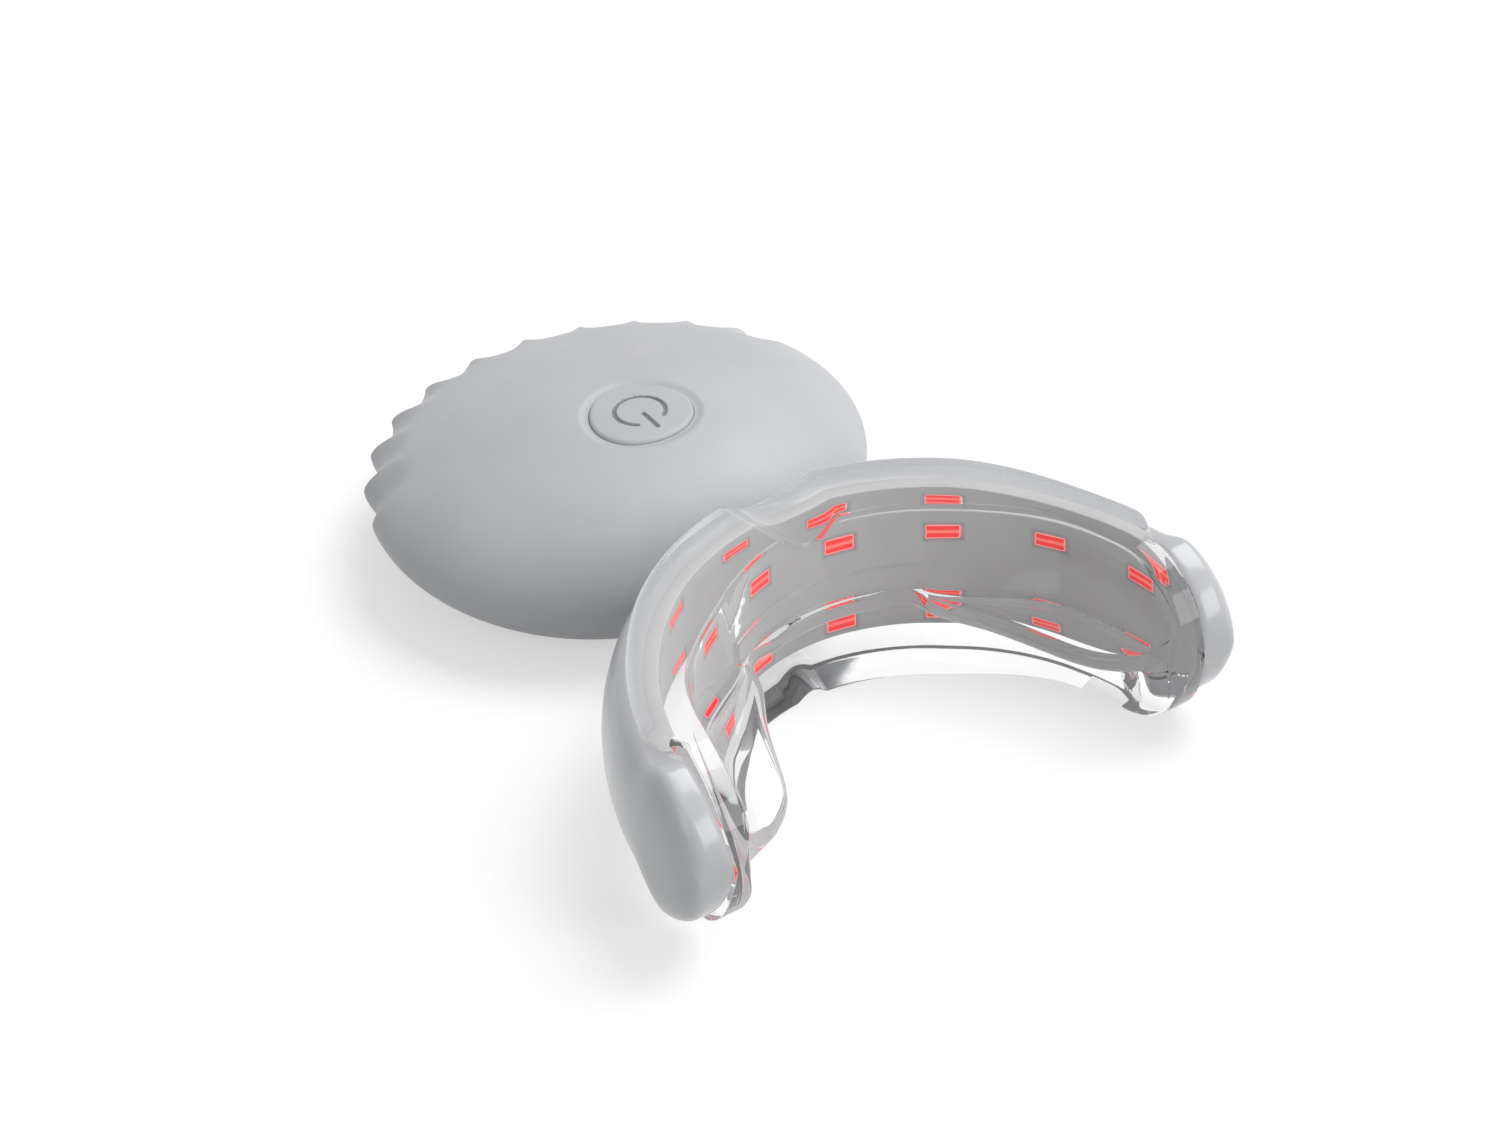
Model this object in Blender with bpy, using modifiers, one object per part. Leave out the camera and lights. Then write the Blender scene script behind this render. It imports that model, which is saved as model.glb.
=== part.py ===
"""Light device for whitening teeth.

A clear mouth tray holds a curved strip of lights, and a short neck joins the strip to a
fluted oval pod with a sprung power button. Metres, +Z up. The origin lies under the middle of
the device, on the surface that it stands on. The tray opens towards -Y, the pod is at +Y.
"""

import math

import bmesh
import bpy
import numpy as np
from mathutils import Matrix

# Fits shared by every piece
SEAT_GAP = 0.0003  # between two pieces that lie against each other
OVERRUN = 0.0020  # how far a cutter passes what it cuts
WELD_DISTANCE = 0.0000003

# Arch of the tray's outer face, seen from above
ARCH_HALF_WIDTH = 0.0300
ARCH_CURVE_DEPTH = 0.0337
ARCH_CURVE_POWER = 1.97
TIP_RUN = 0.0025  # straight stretch behind the curve

# Mouth tray
TRAY_DROP_FRONT = 0.0102  # from the bite plane down to the lower rim
TRAY_DROP_BACK = 0.0105
TRAY_RISE_FRONT = 0.0109  # from the bite plane up to the upper rim
TRAY_RISE_BACK = 0.0099
RIM_TAPER_START = 0.0160  # arc lengths between which the rims come closer
RIM_TAPER_END = 0.0320
TRAY_WALL_FRONT = 0.0048
TRAY_WALL_BACK = 0.0023
TRAY_EDGE_RADIUS = 0.0011
FLANGE_REACH_FRONT = 0.0040  # from the wall's outer face to the arch's outer face
FLANGE_REACH_SIDE = 0.0032
FLANGE_END_START = 0.0348
FLANGE_END = 0.0402
TIP_ROUND = 0.0095  # length of each rounded tip
TIP_CUT_SHARE = 0.985  # share of that length at which the tip is cut off flat
TIP_FACE_INSET = 0.00003  # wall's outer face behind the panel's seat at the tips
UPPER_NOTCH_HALF_WIDTH = 0.0046
UPPER_NOTCH_DEPTH = 0.0020
LOWER_NOTCH_HALF_WIDTH = 0.0024
LOWER_NOTCH_DEPTH = 0.0008
NOTCH_CURVE_POWER = 1.5

# Bite plate inside the tray
BITE_PLATE_BELOW = 0.0007  # below the bite plane
BITE_PLATE_ABOVE = 0.0013
BITE_PLATE_ROOT = 0.0012  # how deep its edge lies in the wall
FRONT_SHELF_REACH = 0.0012  # from the wall's inner face
FRONT_STEP_REACH = 0.0004
FRONT_STEP_ABOVE = 0.0039
FRONT_STEP_HALF_LENGTH = 0.0145
FRONT_SHELF_HALF_LENGTH = 0.0078
BITE_PLATE_BACK_ARC = 0.0444

# Curved light strip
STRIP_RISE = 0.00095  # its middle above the bite plane
STRIP_HALF_HEIGHT = 0.00695
STRIP_EDGE_INSET = 0.0002  # its upper and lower edges inside the arch's outer face
STRIP_CROWN_OUT = 0.0026  # its crown outside the arch's outer face
LOBE_START = 0.0370
LOBE_FULL = 0.0408
LOBE_RISE = 0.0002
LOBE_HALF_HEIGHT = 0.0091
LOBE_TIP_SHARE = 0.45  # of the casing's thickness, left at its tips
PANEL_THICKNESS = 0.0012
LIGHT_BOARD_THICKNESS = 0.0006
LIGHT_BOARD_HALF_HEIGHT = 0.0057
LIGHT_BOARD_HALF_LENGTH = 0.0418
LIGHT_BOARD_END_ROUND = 0.0030
LIGHT_LENGTH = 0.0035
LIGHT_HEIGHT = 0.0018
LIGHT_SUNK = 0.00015  # below the panel's face
LIGHT_PITCH = 0.01105
LIGHT_ROWS_MIDDLE = 0.00035  # above the bite plane
LIGHT_ROW_RISE = 0.0048  # of each row from their middle
LIGHT_EDGE = 0.00015
LIGHTS_PER_ROW = 8

# Pod, seen from above and from the side
POD_HALF_WIDTH = 0.0265
POD_HALF_LENGTH = 0.0246
POD_WAIST_HEIGHT = 0.0079
POD_RISE = 0.0094  # from the waist to the top
POD_DROP = 0.0130  # of the whole lower curve, which the base cuts short
POD_CURVE_POWER = 1.17
POD_LEAN_SHARE = 0.40  # how much taller its front is than its middle
POD_WALL = 0.0018
POD_RIM_HEIGHT = 0.0010  # underside of the shell above the table
FLUTE_PITCH_DEGREES = 14.0
FLUTES = 11
FLUTE_DEPTH = 0.0012
FLUTE_LOW_END = 0.0050  # below the waist
FLUTE_TOP_START_SHARE = 0.78
FLUTE_TOP_FULL_SHARE = 0.97

# Pod's base lid
LID_THICKNESS = 0.0020
LID_EDGE_ROUND = 0.0006
LEDGE_WIDTH = 0.0022
LEDGE_THICKNESS = 0.0015
GASKET_SIZE = 0.0009
GASKET_INSET = 0.0012  # from the lid's edge to the gasket's groove
POST_RADIUS = 0.0019
POST_X = 0.0123
POST_BACK_Y = 0.0105
SCREW_RADIUS = 0.0008
SCREW_HEAD_RADIUS = 0.0016
SCREW_HEAD_HEIGHT = 0.0009
SCREW_GRIP = 0.0032  # length of its shank in the post

# Pieces stacked on the lid
COIL_RADIUS = 0.0083
COIL_BORE_RADIUS = 0.0042
COIL_THICKNESS = 0.0010
FERRITE_THICKNESS = 0.0004
BATTERY_WIDTH = 0.0200
BATTERY_LENGTH = 0.0160
BATTERY_THICKNESS = 0.0034
BATTERY_EDGE = 0.0009
PAD_WIDTH = 0.0140
PAD_LENGTH = 0.0100
PAD_THICKNESS = 0.0008
MAIN_BOARD_THICKNESS = 0.0010
CONTROL_CHIP_SIZE = 0.0050
SMALL_CHIP_SIZE = 0.0030
CHIP_THICKNESS = 0.0009
CHIP_EDGE = 0.00012
CONTROL_CHIP_X = -0.0068
CONTROL_CHIP_Y = 0.0048
CHARGE_CHIP_X = 0.0013
CHARGE_CHIP_Y = 0.0055
DRIVER_CHIP_X = 0.0066
DRIVER_CHIP_Y = -0.0048
LEAD_RADIUS = 0.00035
LEAD_SPREAD = 0.0056
LEAD_BEND = 0.0011

# Power button and its switch
BUTTON_AHEAD = 0.0054  # of the pod's middle, towards the tray
BUTTON_RADIUS = 0.0051
BUTTON_CORNERS = 3
BUTTON_CORNER_SHARE = 0.03  # how far the outline swells at its rounded corners
BUTTON_GAP = 0.00035
BUTTON_TRAVEL = 0.0006
BUTTON_EDGE_ROUND = 0.00035
BUTTON_FOOT_RADIUS = 0.0024
BUTTON_FLANGE_REACH = 0.0013
BUTTON_FLANGE_THICKNESS = 0.0008
SEAL_REACH = 0.0018
SEAL_THICKNESS = 0.0008
COLLAR_WALL = 0.0026
COLLAR_DEPTH = 0.0029  # from the pod's top to the collar's underside
MOUTH_FLARE = 0.0006
MOUTH_DEPTH = 0.0006
MOUTH_LIP_RISE = 0.00012
EDGE_BEND_SHARE = 0.33  # of a rounded edge, left at its middle ring
SWITCH_SIZE = 0.0050
SWITCH_THICKNESS = 0.0011
PLUNGER_RADIUS = 0.0012
PLUNGER_HEIGHT = 0.0011

# Status light
STATUS_X = 0.0071
STATUS_Y = 0.0062
STATUS_LED_LENGTH = 0.0016
STATUS_LED_WIDTH = 0.0009
STATUS_LED_THICKNESS = 0.0006
PIPE_RADIUS = 0.0007
PIPE_SKIN = 0.0006  # left of the shell above the light pipe
PIPE_BOSS_WALL = 0.0009
PIPE_BOSS_DEPTH = 0.0022

# Neck and its flat cable
NECK_HALF_WIDTH = 0.0080
NECK_HALF_HEIGHT = 0.0030
NECK_HEIGHT = 0.0092
NECK_WALL = 0.0011
CABLE_WIDTH = 0.0080
CABLE_THICKNESS = 0.0003
CABLE_BEND = 0.0005
CABLE_ON_BOARD = 0.0036
CABLE_DROP = 0.0008  # to its end in the neck, more than the bend takes

# Inner edge of the bite plate's right flap, as shares of the arch's half width and depth
FLAP_EDGE_SHARES = (
    (0.319, 0.313),
    (0.324, 0.413),
    (0.368, 0.481),
    (0.420, 0.552),
    (0.462, 0.628),
    (0.507, 0.722),
    (0.550, 0.811),
    (0.599, 0.874),
    (0.670, 0.924),
    (0.749, 0.952),
    (0.817, 0.947),
)

# Sizes that follow from the ones above
ARCH_DEPTH = ARCH_CURVE_DEPTH + TIP_RUN
POD_FRONT = STRIP_CROWN_OUT  # the waist lies below the strip's crown, which keeps them apart
POD_BACK = POD_HALF_LENGTH * math.cos(math.radians(FLUTE_PITCH_DEGREES / 2))
ARCH_FRONT_Y = (ARCH_DEPTH - POD_FRONT - POD_HALF_LENGTH - POD_BACK) / 2
POD_Y = ARCH_FRONT_Y + POD_FRONT + POD_HALF_LENGTH
BITE_PLANE_Z = TRAY_DROP_BACK
PANEL_FACE = SEAT_GAP
PANEL_BACK = PANEL_FACE + PANEL_THICKNESS
CASING_FACE = PANEL_BACK + SEAT_GAP
LIGHT_BOARD_BACK = CASING_FACE + LIGHT_BOARD_THICKNESS
RECESS_BACK = LIGHT_BOARD_BACK + SEAT_GAP
LEDGE_LOW = LID_THICKNESS + SEAT_GAP
LEDGE_TOP = LEDGE_LOW + LEDGE_THICKNESS
COIL_LOW = LID_THICKNESS + SEAT_GAP
FERRITE_LOW = COIL_LOW + COIL_THICKNESS + SEAT_GAP
BATTERY_LOW = FERRITE_LOW + FERRITE_THICKNESS + SEAT_GAP
PAD_LOW = BATTERY_LOW + BATTERY_THICKNESS + SEAT_GAP
MAIN_BOARD_LOW = PAD_LOW + PAD_THICKNESS + SEAT_GAP
ON_BOARD = MAIN_BOARD_LOW + MAIN_BOARD_THICKNESS + SEAT_GAP
POD_TOP = POD_WAIST_HEIGHT + POD_RISE * (1 + POD_LEAN_SHARE)
SWITCH_TOP = ON_BOARD + SWITCH_THICKNESS
PLUNGER_LOW = ON_BOARD + BUTTON_TRAVEL
PLUNGER_TOP = PLUNGER_LOW + PLUNGER_HEIGHT
BUTTON_FOOT = PLUNGER_TOP + SEAT_GAP

# Resolution of the curved surfaces
ARCH_SAMPLES = 400
TRAY_SPANS = 18
NOTCH_SPANS = 5
POCKET_SPANS = 25
CASING_SPANS = 21
PANEL_SPANS = 19
LIGHT_BOARD_SPANS = 17
LIGHT_BOARD_END_SHARES = (0.4, 0.7, 0.9, 1.0)
TIP_SPANS = 7
TIP_LAST_DEGREES = 80
SHELF_SPANS = 3
STEP_SPANS = 16
FLAP_WALL_SPANS = 14
OVAL_POINTS = 44
CAVITY_POINTS = 40
NECK_POINTS = 40
COIL_POINTS = 36
BUTTON_POINTS = 36
CIRCLE_POINTS = 24
POST_POINTS = 20
BORE_POINTS = 16
SMALL_TURN_STEPS = 12
BEND_STEPS = 4
CORNER_STEPS = 3
CORNER_LIMIT_SHARE = 0.45  # most of a side that one rounded corner may take
CROWN_STEPS = 8
FLUTE_STEPS = 4
FRONT_STEPS = 26
TOP_RINGS = 9
LOW_RINGS = 5
CAVITY_TOP_RINGS = 7
CAVITY_LOW_RINGS = 4
LAST_RING_DEGREES = 9  # round the crown, between the last ring and the pole


def clear_scene():
    """Empty the scene, also of what an earlier run left."""
    for thing in list(bpy.data.objects):
        bpy.data.objects.remove(thing, do_unlink=True)
    for group in list(bpy.data.collections):
        bpy.data.collections.remove(group)


def make_collections():
    """One collection for the pieces and one for their cutters."""
    parts = bpy.data.collections.new("whitening_light")
    cutters = bpy.data.collections.new("cutters")
    bpy.context.scene.collection.children.link(parts)
    bpy.context.scene.collection.children.link(cutters)
    cutters.hide_render = True
    return parts, cutters


def make_material(name, colour, roughness, metallic=0.0):
    """A Principled material of one colour."""
    material = bpy.data.materials.new(name)
    material.use_nodes = True
    surface = material.node_tree.nodes["Principled BSDF"]
    surface.inputs["Base Color"].default_value = (*colour, 1.0)
    surface.inputs["Roughness"].default_value = roughness
    surface.inputs["Metallic"].default_value = metallic
    material.diffuse_color = (*colour, 1.0)
    return material


def add_piece(name, mesh, material=None, smooth_degrees=40.0):
    """Put a mesh in the scene as a named piece."""
    piece = bpy.data.objects.new(name, mesh)
    PARTS.objects.link(piece)
    if material:
        mesh.materials.append(material)
    mesh.shade_smooth()
    mesh.set_sharp_from_angle(angle=math.radians(smooth_degrees))
    return piece


def make_cutter(piece):
    """Turn a piece into a hidden cutter."""
    PARTS.objects.unlink(piece)
    CUTTERS.objects.link(piece)
    piece.hide_render = True
    piece.display_type = "WIRE"
    return piece


def combine(piece, other, operation):
    """Join the other piece to this one, or cut it away, with a Boolean modifier."""
    step = piece.modifiers.new(f"{operation.lower()} {other.name}", "BOOLEAN")
    step.operation = operation
    step.solver = "EXACT"
    step.object = other
    return make_cutter(other)


def finished_mesh(shape):
    """The mesh of a curve or of an object with modifiers, closed along its seams."""
    bpy.context.view_layer.update()
    graph = bpy.context.evaluated_depsgraph_get()
    mesh = bpy.data.meshes.new_from_object(shape.evaluated_get(graph))
    form = bmesh.new()
    form.from_mesh(mesh)
    bmesh.ops.remove_doubles(form, verts=form.verts, dist=WELD_DISTANCE)
    bmesh.ops.recalc_face_normals(form, faces=form.faces)
    form.to_mesh(mesh)
    form.free()
    return mesh


def loft(name, rings, material=None, pole=None):
    """A closed skin over rings of equal count; the last ring closes on the pole if one is given."""
    form = bmesh.new()
    rows = [[form.verts.new(point) for point in ring] for ring in rings]
    count = len(rows[0])
    for low, high in zip(rows, rows[1:]):
        for i in range(count):
            j = (i + 1) % count
            form.faces.new((low[i], low[j], high[j], high[i]))
    form.faces.new(rows[0])
    if pole is None:
        form.faces.new(rows[-1])
    else:
        top = form.verts.new(pole)
        for i in range(count):
            form.faces.new((rows[-1][i], rows[-1][(i + 1) % count], top))
    bmesh.ops.recalc_face_normals(form, faces=form.faces)
    mesh = bpy.data.meshes.new(name)
    form.to_mesh(mesh)
    form.free()
    return add_piece(name, mesh, material)


def plate(name, outlines, low, high, material=None, turn=None):
    """A flat outline, with further outlines as its holes, extruded between two heights."""
    curve = bpy.data.curves.new(name + " outline", "CURVE")
    curve.dimensions = "2D"
    curve.fill_mode = "BOTH"
    curve.extrude = (high - low) / 2
    for outline in outlines:
        spline = curve.splines.new("POLY")
        spline.points.add(len(outline) - 1)
        spline.use_cyclic_u = True
        for point, (x, y) in zip(spline.points, outline):
            point.co = (x, y, 0, 1)
    guide = bpy.data.objects.new(name + " outline", curve)
    bpy.context.scene.collection.objects.link(guide)
    mesh = finished_mesh(guide)
    bpy.data.objects.remove(guide)
    mesh.transform(Matrix.Translation((0, 0, (low + high) / 2)))
    if turn:
        mesh.transform(turn)
    return add_piece(name, mesh, material)


def turned(name, profile, place, material=None, steps=CIRCLE_POINTS):
    """A profile of (radius, height) points turned about a vertical axis."""
    mesh = bpy.data.meshes.new(name + " profile")
    points = [(radius, 0, height) for radius, height in profile]
    mesh.from_pydata(points, [(i, i + 1) for i in range(len(points) - 1)], [])
    guide = bpy.data.objects.new(name + " profile", mesh)
    bpy.context.scene.collection.objects.link(guide)
    screw = guide.modifiers.new("turn", "SCREW")
    screw.steps = steps
    screw.render_steps = steps
    screw.use_merge_vertices = True
    screw.merge_threshold = WELD_DISTANCE
    solid = finished_mesh(guide)
    bpy.data.objects.remove(guide)
    piece = add_piece(name, solid, material)
    piece.location = place
    return piece


def block(name, place, size, edge, material=None):
    """A box with bevelled edges, placed by its middle."""
    form = bmesh.new()
    bmesh.ops.create_cube(form, size=1, matrix=Matrix.Diagonal((*size, 1)))
    mesh = bpy.data.meshes.new(name)
    form.to_mesh(mesh)
    form.free()
    piece = add_piece(name, mesh, material)
    piece.location = place
    if edge:
        bevel = piece.modifiers.new("edges", "BEVEL")
        bevel.width = edge
        bevel.segments = 1
    return piece


def wire(name, points, radius, material):
    """A round wire along points."""
    curve = bpy.data.curves.new(name + " route", "CURVE")
    curve.dimensions = "3D"
    curve.bevel_depth = radius
    curve.bevel_resolution = 1
    curve.use_fill_caps = True
    spline = curve.splines.new("POLY")
    spline.points.add(len(points) - 1)
    for point, place in zip(spline.points, points):
        point.co = (*place, 1)
    guide = bpy.data.objects.new(name + " route", curve)
    bpy.context.scene.collection.objects.link(guide)
    mesh = finished_mesh(guide)
    bpy.data.objects.remove(guide)
    return add_piece(name, mesh, material)


def oval(half_x, half_y, centre_x=0.0, centre_y=0.0, count=OVAL_POINTS):
    """Points round an ellipse."""
    angles = [math.tau * i / count for i in range(count)]
    return [
        (centre_x + half_x * math.cos(a), centre_y + half_y * math.sin(a)) for a in angles
    ]


def circle(radius, centre_x=0.0, centre_y=0.0, count=CIRCLE_POINTS):
    """Points round a circle."""
    return oval(radius, radius, centre_x, centre_y, count)


def bend(centre, radius, start_degrees, end_degrees, steps=BEND_STEPS):
    """Points along a bend of a flat route."""
    angles = np.radians(np.linspace(start_degrees, end_degrees, steps + 1))
    return [(centre[0] + radius * math.cos(a), centre[1] + radius * math.sin(a)) for a in angles]


def blend_share(value, start, end):
    """A smooth rise from 0 at the start to 1 at the end."""
    share = min(max((value - start) / (end - start), 0.0), 1.0)
    return share * share * (3 - 2 * share)


def mixed(first, last, share):
    """The value that lies this share of the way from first to last."""
    return first + (last - first) * share


# Arch: places are given by arc length along the panel's seat and by reach outwards from it


def trace_arch():
    """Right half of the panel's seat: arc lengths, places, directions and flange reaches."""
    angles = np.linspace(0, math.pi / 2, ARCH_SAMPLES)
    share_x = np.sin(angles) ** (2 / ARCH_CURVE_POWER)
    share_y = np.cos(angles) ** (2 / ARCH_CURVE_POWER)
    outer = np.stack([ARCH_HALF_WIDTH * share_x, ARCH_CURVE_DEPTH * (share_y - 1)], axis=1)
    normal_x = share_x ** (ARCH_CURVE_POWER - 1) / ARCH_HALF_WIDTH
    normal_y = share_y ** (ARCH_CURVE_POWER - 1) / ARCH_CURVE_DEPTH
    normals = np.stack([normal_x, normal_y], axis=1)
    normals /= np.linalg.norm(normals, axis=1)[:, None]
    outer = np.vstack([outer, outer[-1] + [0, -TIP_RUN]])
    normals = np.vstack([normals, [1, 0]])
    reaches = mixed(FLANGE_REACH_SIDE, FLANGE_REACH_FRONT, normals[:, 1] ** 2)
    seat = outer - reaches[:, None] * normals
    steps = np.linalg.norm(np.diff(seat, axis=0), axis=1)
    return np.concatenate([[0], np.cumsum(steps)]), seat, normals, reaches


ARCS, SEATS, NORMALS, REACHES = trace_arch()
HALF_ARC = float(ARCS[-1])


def on_arch(arc, reach):
    """The place (x, y) at this arc length, negative to the left, and this reach."""
    side = -1 if arc < 0 else 1
    where = abs(arc)
    x = np.interp(where, ARCS, SEATS[:, 0]) + reach * np.interp(where, ARCS, NORMALS[:, 0])
    y = np.interp(where, ARCS, SEATS[:, 1]) + reach * np.interp(where, ARCS, NORMALS[:, 1])
    return side * float(x), ARCH_FRONT_Y + float(y)


def outer_reach(arc):
    """Reach of the arch's outer face at this arc length."""
    return float(np.interp(abs(arc), ARCS, REACHES))


def turn_at(arc):
    """The turn about +Z that lays +X along the arch and +Y outwards at this arc length."""
    normal_x = np.interp(abs(arc), ARCS, NORMALS[:, 0])
    normal_y = np.interp(abs(arc), ARCS, NORMALS[:, 1])
    angle = math.atan2(normal_x, normal_y)
    return -angle if arc > 0 else angle


def tip_share(arc):
    """How much of its height the arch keeps here: all of it, but for the rounded tips."""
    into_tip = (abs(arc) - (HALF_ARC - TIP_ROUND)) / TIP_ROUND
    if into_tip <= 0:
        return 1.0
    return math.sqrt(1 - min(into_tip, TIP_CUT_SHARE) ** 2)


def notch_share(arc, half_width):
    """Depth of a soft notch on the centre line."""
    share = min(abs(arc) / half_width, 1.0)
    return (1 - share * share) ** NOTCH_CURVE_POWER


def arch_section(arc, outline):
    """Stand an outline of (reach, height above the bite plane) across the arch."""
    ring = []
    for reach, height in outline:
        x, y = on_arch(arc, reach)
        ring.append((x, y, BITE_PLANE_Z + height))
    return ring


def both_ways(arcs):
    """The same arc lengths to the left and the right, in order."""
    right = sorted({round(arc, 6) for arc in arcs if arc > 0})
    return [-arc for arc in reversed(right)] + [0.0] + right


def tip_arcs(end):
    """Arc lengths round a tip, closer together near its end."""
    angles = np.radians(np.linspace(0, TIP_LAST_DEGREES, TIP_SPANS + 1))
    return [end - TIP_ROUND + TIP_ROUND * math.sin(a) for a in angles]


def rounded_outline(inner, outer, low, high, radius, steps=CORNER_STEPS):
    """A rectangle of reach and height with rounded corners."""
    radius = min(radius, CORNER_LIMIT_SHARE * min(outer - inner, high - low))
    corners = (
        (outer - radius, low + radius, -90),
        (outer - radius, high - radius, 0),
        (inner + radius, high - radius, 90),
        (inner + radius, low + radius, 180),
    )
    points = []
    for reach, height, start in corners:
        points += bend((reach, height), radius, start, start + 90, steps)
    return points


def tray_outline(arc):
    """Section of the tray's wall with its flanges."""
    share = blend_share(abs(arc), RIM_TAPER_START, RIM_TAPER_END)
    keep = tip_share(arc)
    rise = mixed(TRAY_RISE_FRONT, TRAY_RISE_BACK, share) * keep
    drop = mixed(TRAY_DROP_FRONT, TRAY_DROP_BACK, share) * keep
    rise -= UPPER_NOTCH_DEPTH * notch_share(arc, UPPER_NOTCH_HALF_WIDTH)
    drop -= LOWER_NOTCH_DEPTH * notch_share(arc, LOWER_NOTCH_HALF_WIDTH)
    wall = mixed(TRAY_WALL_FRONT, TRAY_WALL_BACK, share)
    out = blend_share(abs(arc), FLANGE_END_START, FLANGE_END)
    outer = mixed(outer_reach(arc), -TIP_FACE_INSET, out)
    return rounded_outline(-wall, outer, -drop, rise, TRAY_EDGE_RADIUS)


def strip_middle_and_half(arc):
    """Middle and half height of the light strip, which grows into a lobe at each end."""
    lobe = blend_share(abs(arc), LOBE_START, LOBE_FULL)
    middle = mixed(STRIP_RISE, LOBE_RISE, lobe)
    half = mixed(STRIP_HALF_HEIGHT, LOBE_HALF_HEIGHT, lobe)
    return middle, half * tip_share(arc)


def casing_outline(arc):
    """Section of the casing: flat inside, a crown outside."""
    middle, half = strip_middle_and_half(arc)
    keep = mixed(LOBE_TIP_SHARE, 1.0, tip_share(arc))
    crown = mixed(CASING_FACE, outer_reach(arc) + STRIP_CROWN_OUT, keep)
    edge = mixed(CASING_FACE, outer_reach(arc) - STRIP_EDGE_INSET, keep)
    points = [(CASING_FACE, middle - half)]
    for i in range(CROWN_STEPS + 1):
        angle = math.pi * (i / CROWN_STEPS - 0.5)
        points.append((edge + (crown - edge) * math.cos(angle), middle + half * math.sin(angle)))
    points.append((CASING_FACE, middle + half))
    return points


def panel_outline(arc):
    """Section of the panel that faces the teeth."""
    middle, half = strip_middle_and_half(arc)
    return [
        (PANEL_FACE, middle - half),
        (PANEL_BACK, middle - half),
        (PANEL_BACK, middle + half),
        (PANEL_FACE, middle + half),
    ]


def light_board_outline(arc, face, back, gap):
    """Section of the light board, or of its recess when a gap is given."""
    half_length = LIGHT_BOARD_HALF_LENGTH + gap
    into_end = max(abs(arc) - (half_length - LIGHT_BOARD_END_ROUND), 0) / LIGHT_BOARD_END_ROUND
    keep = LIGHT_BOARD_END_ROUND * (1 - math.sqrt(max(1 - into_end**2, 0)))
    half = LIGHT_BOARD_HALF_HEIGHT + gap - keep
    return [
        (face, LIGHT_ROWS_MIDDLE - half),
        (back, LIGHT_ROWS_MIDDLE - half),
        (back, LIGHT_ROWS_MIDDLE + half),
        (face, LIGHT_ROWS_MIDDLE + half),
    ]


def make_tray(clear):
    """Clear soft tray: a tall curved wall with flanges over the strip, and the bite plate."""
    notch = list(np.linspace(0, UPPER_NOTCH_HALF_WIDTH, NOTCH_SPANS, False))
    along = list(np.linspace(UPPER_NOTCH_HALF_WIDTH, HALF_ARC - TIP_ROUND, TRAY_SPANS, False))
    arcs = both_ways(notch + along + tip_arcs(HALF_ARC))
    tray = loft("mouth_tray", [arch_section(a, tray_outline(a)) for a in arcs], clear)
    pocket_arcs = both_ways(np.linspace(0, HALF_ARC, POCKET_SPANS + 1))
    pocket = [arch_section(a, pocket_outline(a)) for a in pocket_arcs]
    combine(tray, loft("tray pocket", pocket), "DIFFERENCE")
    combine(tray, make_bite_plate(), "UNION")
    combine(tray, make_front_step(), "UNION")
    return tray


def pocket_outline(arc):
    """Section of the pocket that takes the strip, open outwards."""
    lobe = blend_share(abs(arc), LOBE_START, LOBE_FULL)
    middle = mixed(STRIP_RISE, LOBE_RISE, lobe)
    half = mixed(STRIP_HALF_HEIGHT, LOBE_HALF_HEIGHT, lobe) + SEAT_GAP
    outer = outer_reach(arc) + OVERRUN
    return [(0, middle - half), (outer, middle - half), (outer, middle + half), (0, middle + half)]


def make_bite_plate():
    """Flat plate between the jaws: a narrow shelf in front and a flap on each side."""
    shelf = TRAY_WALL_FRONT + FRONT_SHELF_REACH
    shelf_arcs = np.linspace(0, FRONT_SHELF_HALF_LENGTH, SHELF_SPANS + 1)[1:]
    front = [on_arch(a, -shelf) for a in shelf_arcs]
    flap = [
        (x_share * ARCH_HALF_WIDTH, ARCH_FRONT_Y - y_share * ARCH_DEPTH)
        for x_share, y_share in FLAP_EDGE_SHARES
    ]
    wall_arcs = np.linspace(BITE_PLATE_BACK_ARC, 0, FLAP_WALL_SPANS, False)
    wall = [on_arch(a, -BITE_PLATE_ROOT) for a in wall_arcs]
    right = front + flap + wall
    left = [(-x, y) for x, y in reversed(right)]
    outline = [on_arch(0, -shelf)] + right + [on_arch(0, -BITE_PLATE_ROOT)] + left
    low = BITE_PLANE_Z - BITE_PLATE_BELOW
    return plate("bite plate", [outline], low, BITE_PLANE_Z + BITE_PLATE_ABOVE)


def make_front_step():
    """Thicker stretch of the plate under the front teeth."""
    shelf = TRAY_WALL_FRONT + FRONT_STEP_REACH
    arcs = np.linspace(-FRONT_STEP_HALF_LENGTH, FRONT_STEP_HALF_LENGTH, STEP_SPANS + 1)
    inner = [on_arch(a, -shelf) for a in arcs]
    outer = [on_arch(a, -BITE_PLATE_ROOT) for a in reversed(arcs)]
    low = BITE_PLANE_Z + (BITE_PLATE_ABOVE - BITE_PLATE_BELOW) / 2
    return plate("front step", [inner + outer], low, BITE_PLANE_Z + FRONT_STEP_ABOVE)


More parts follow.
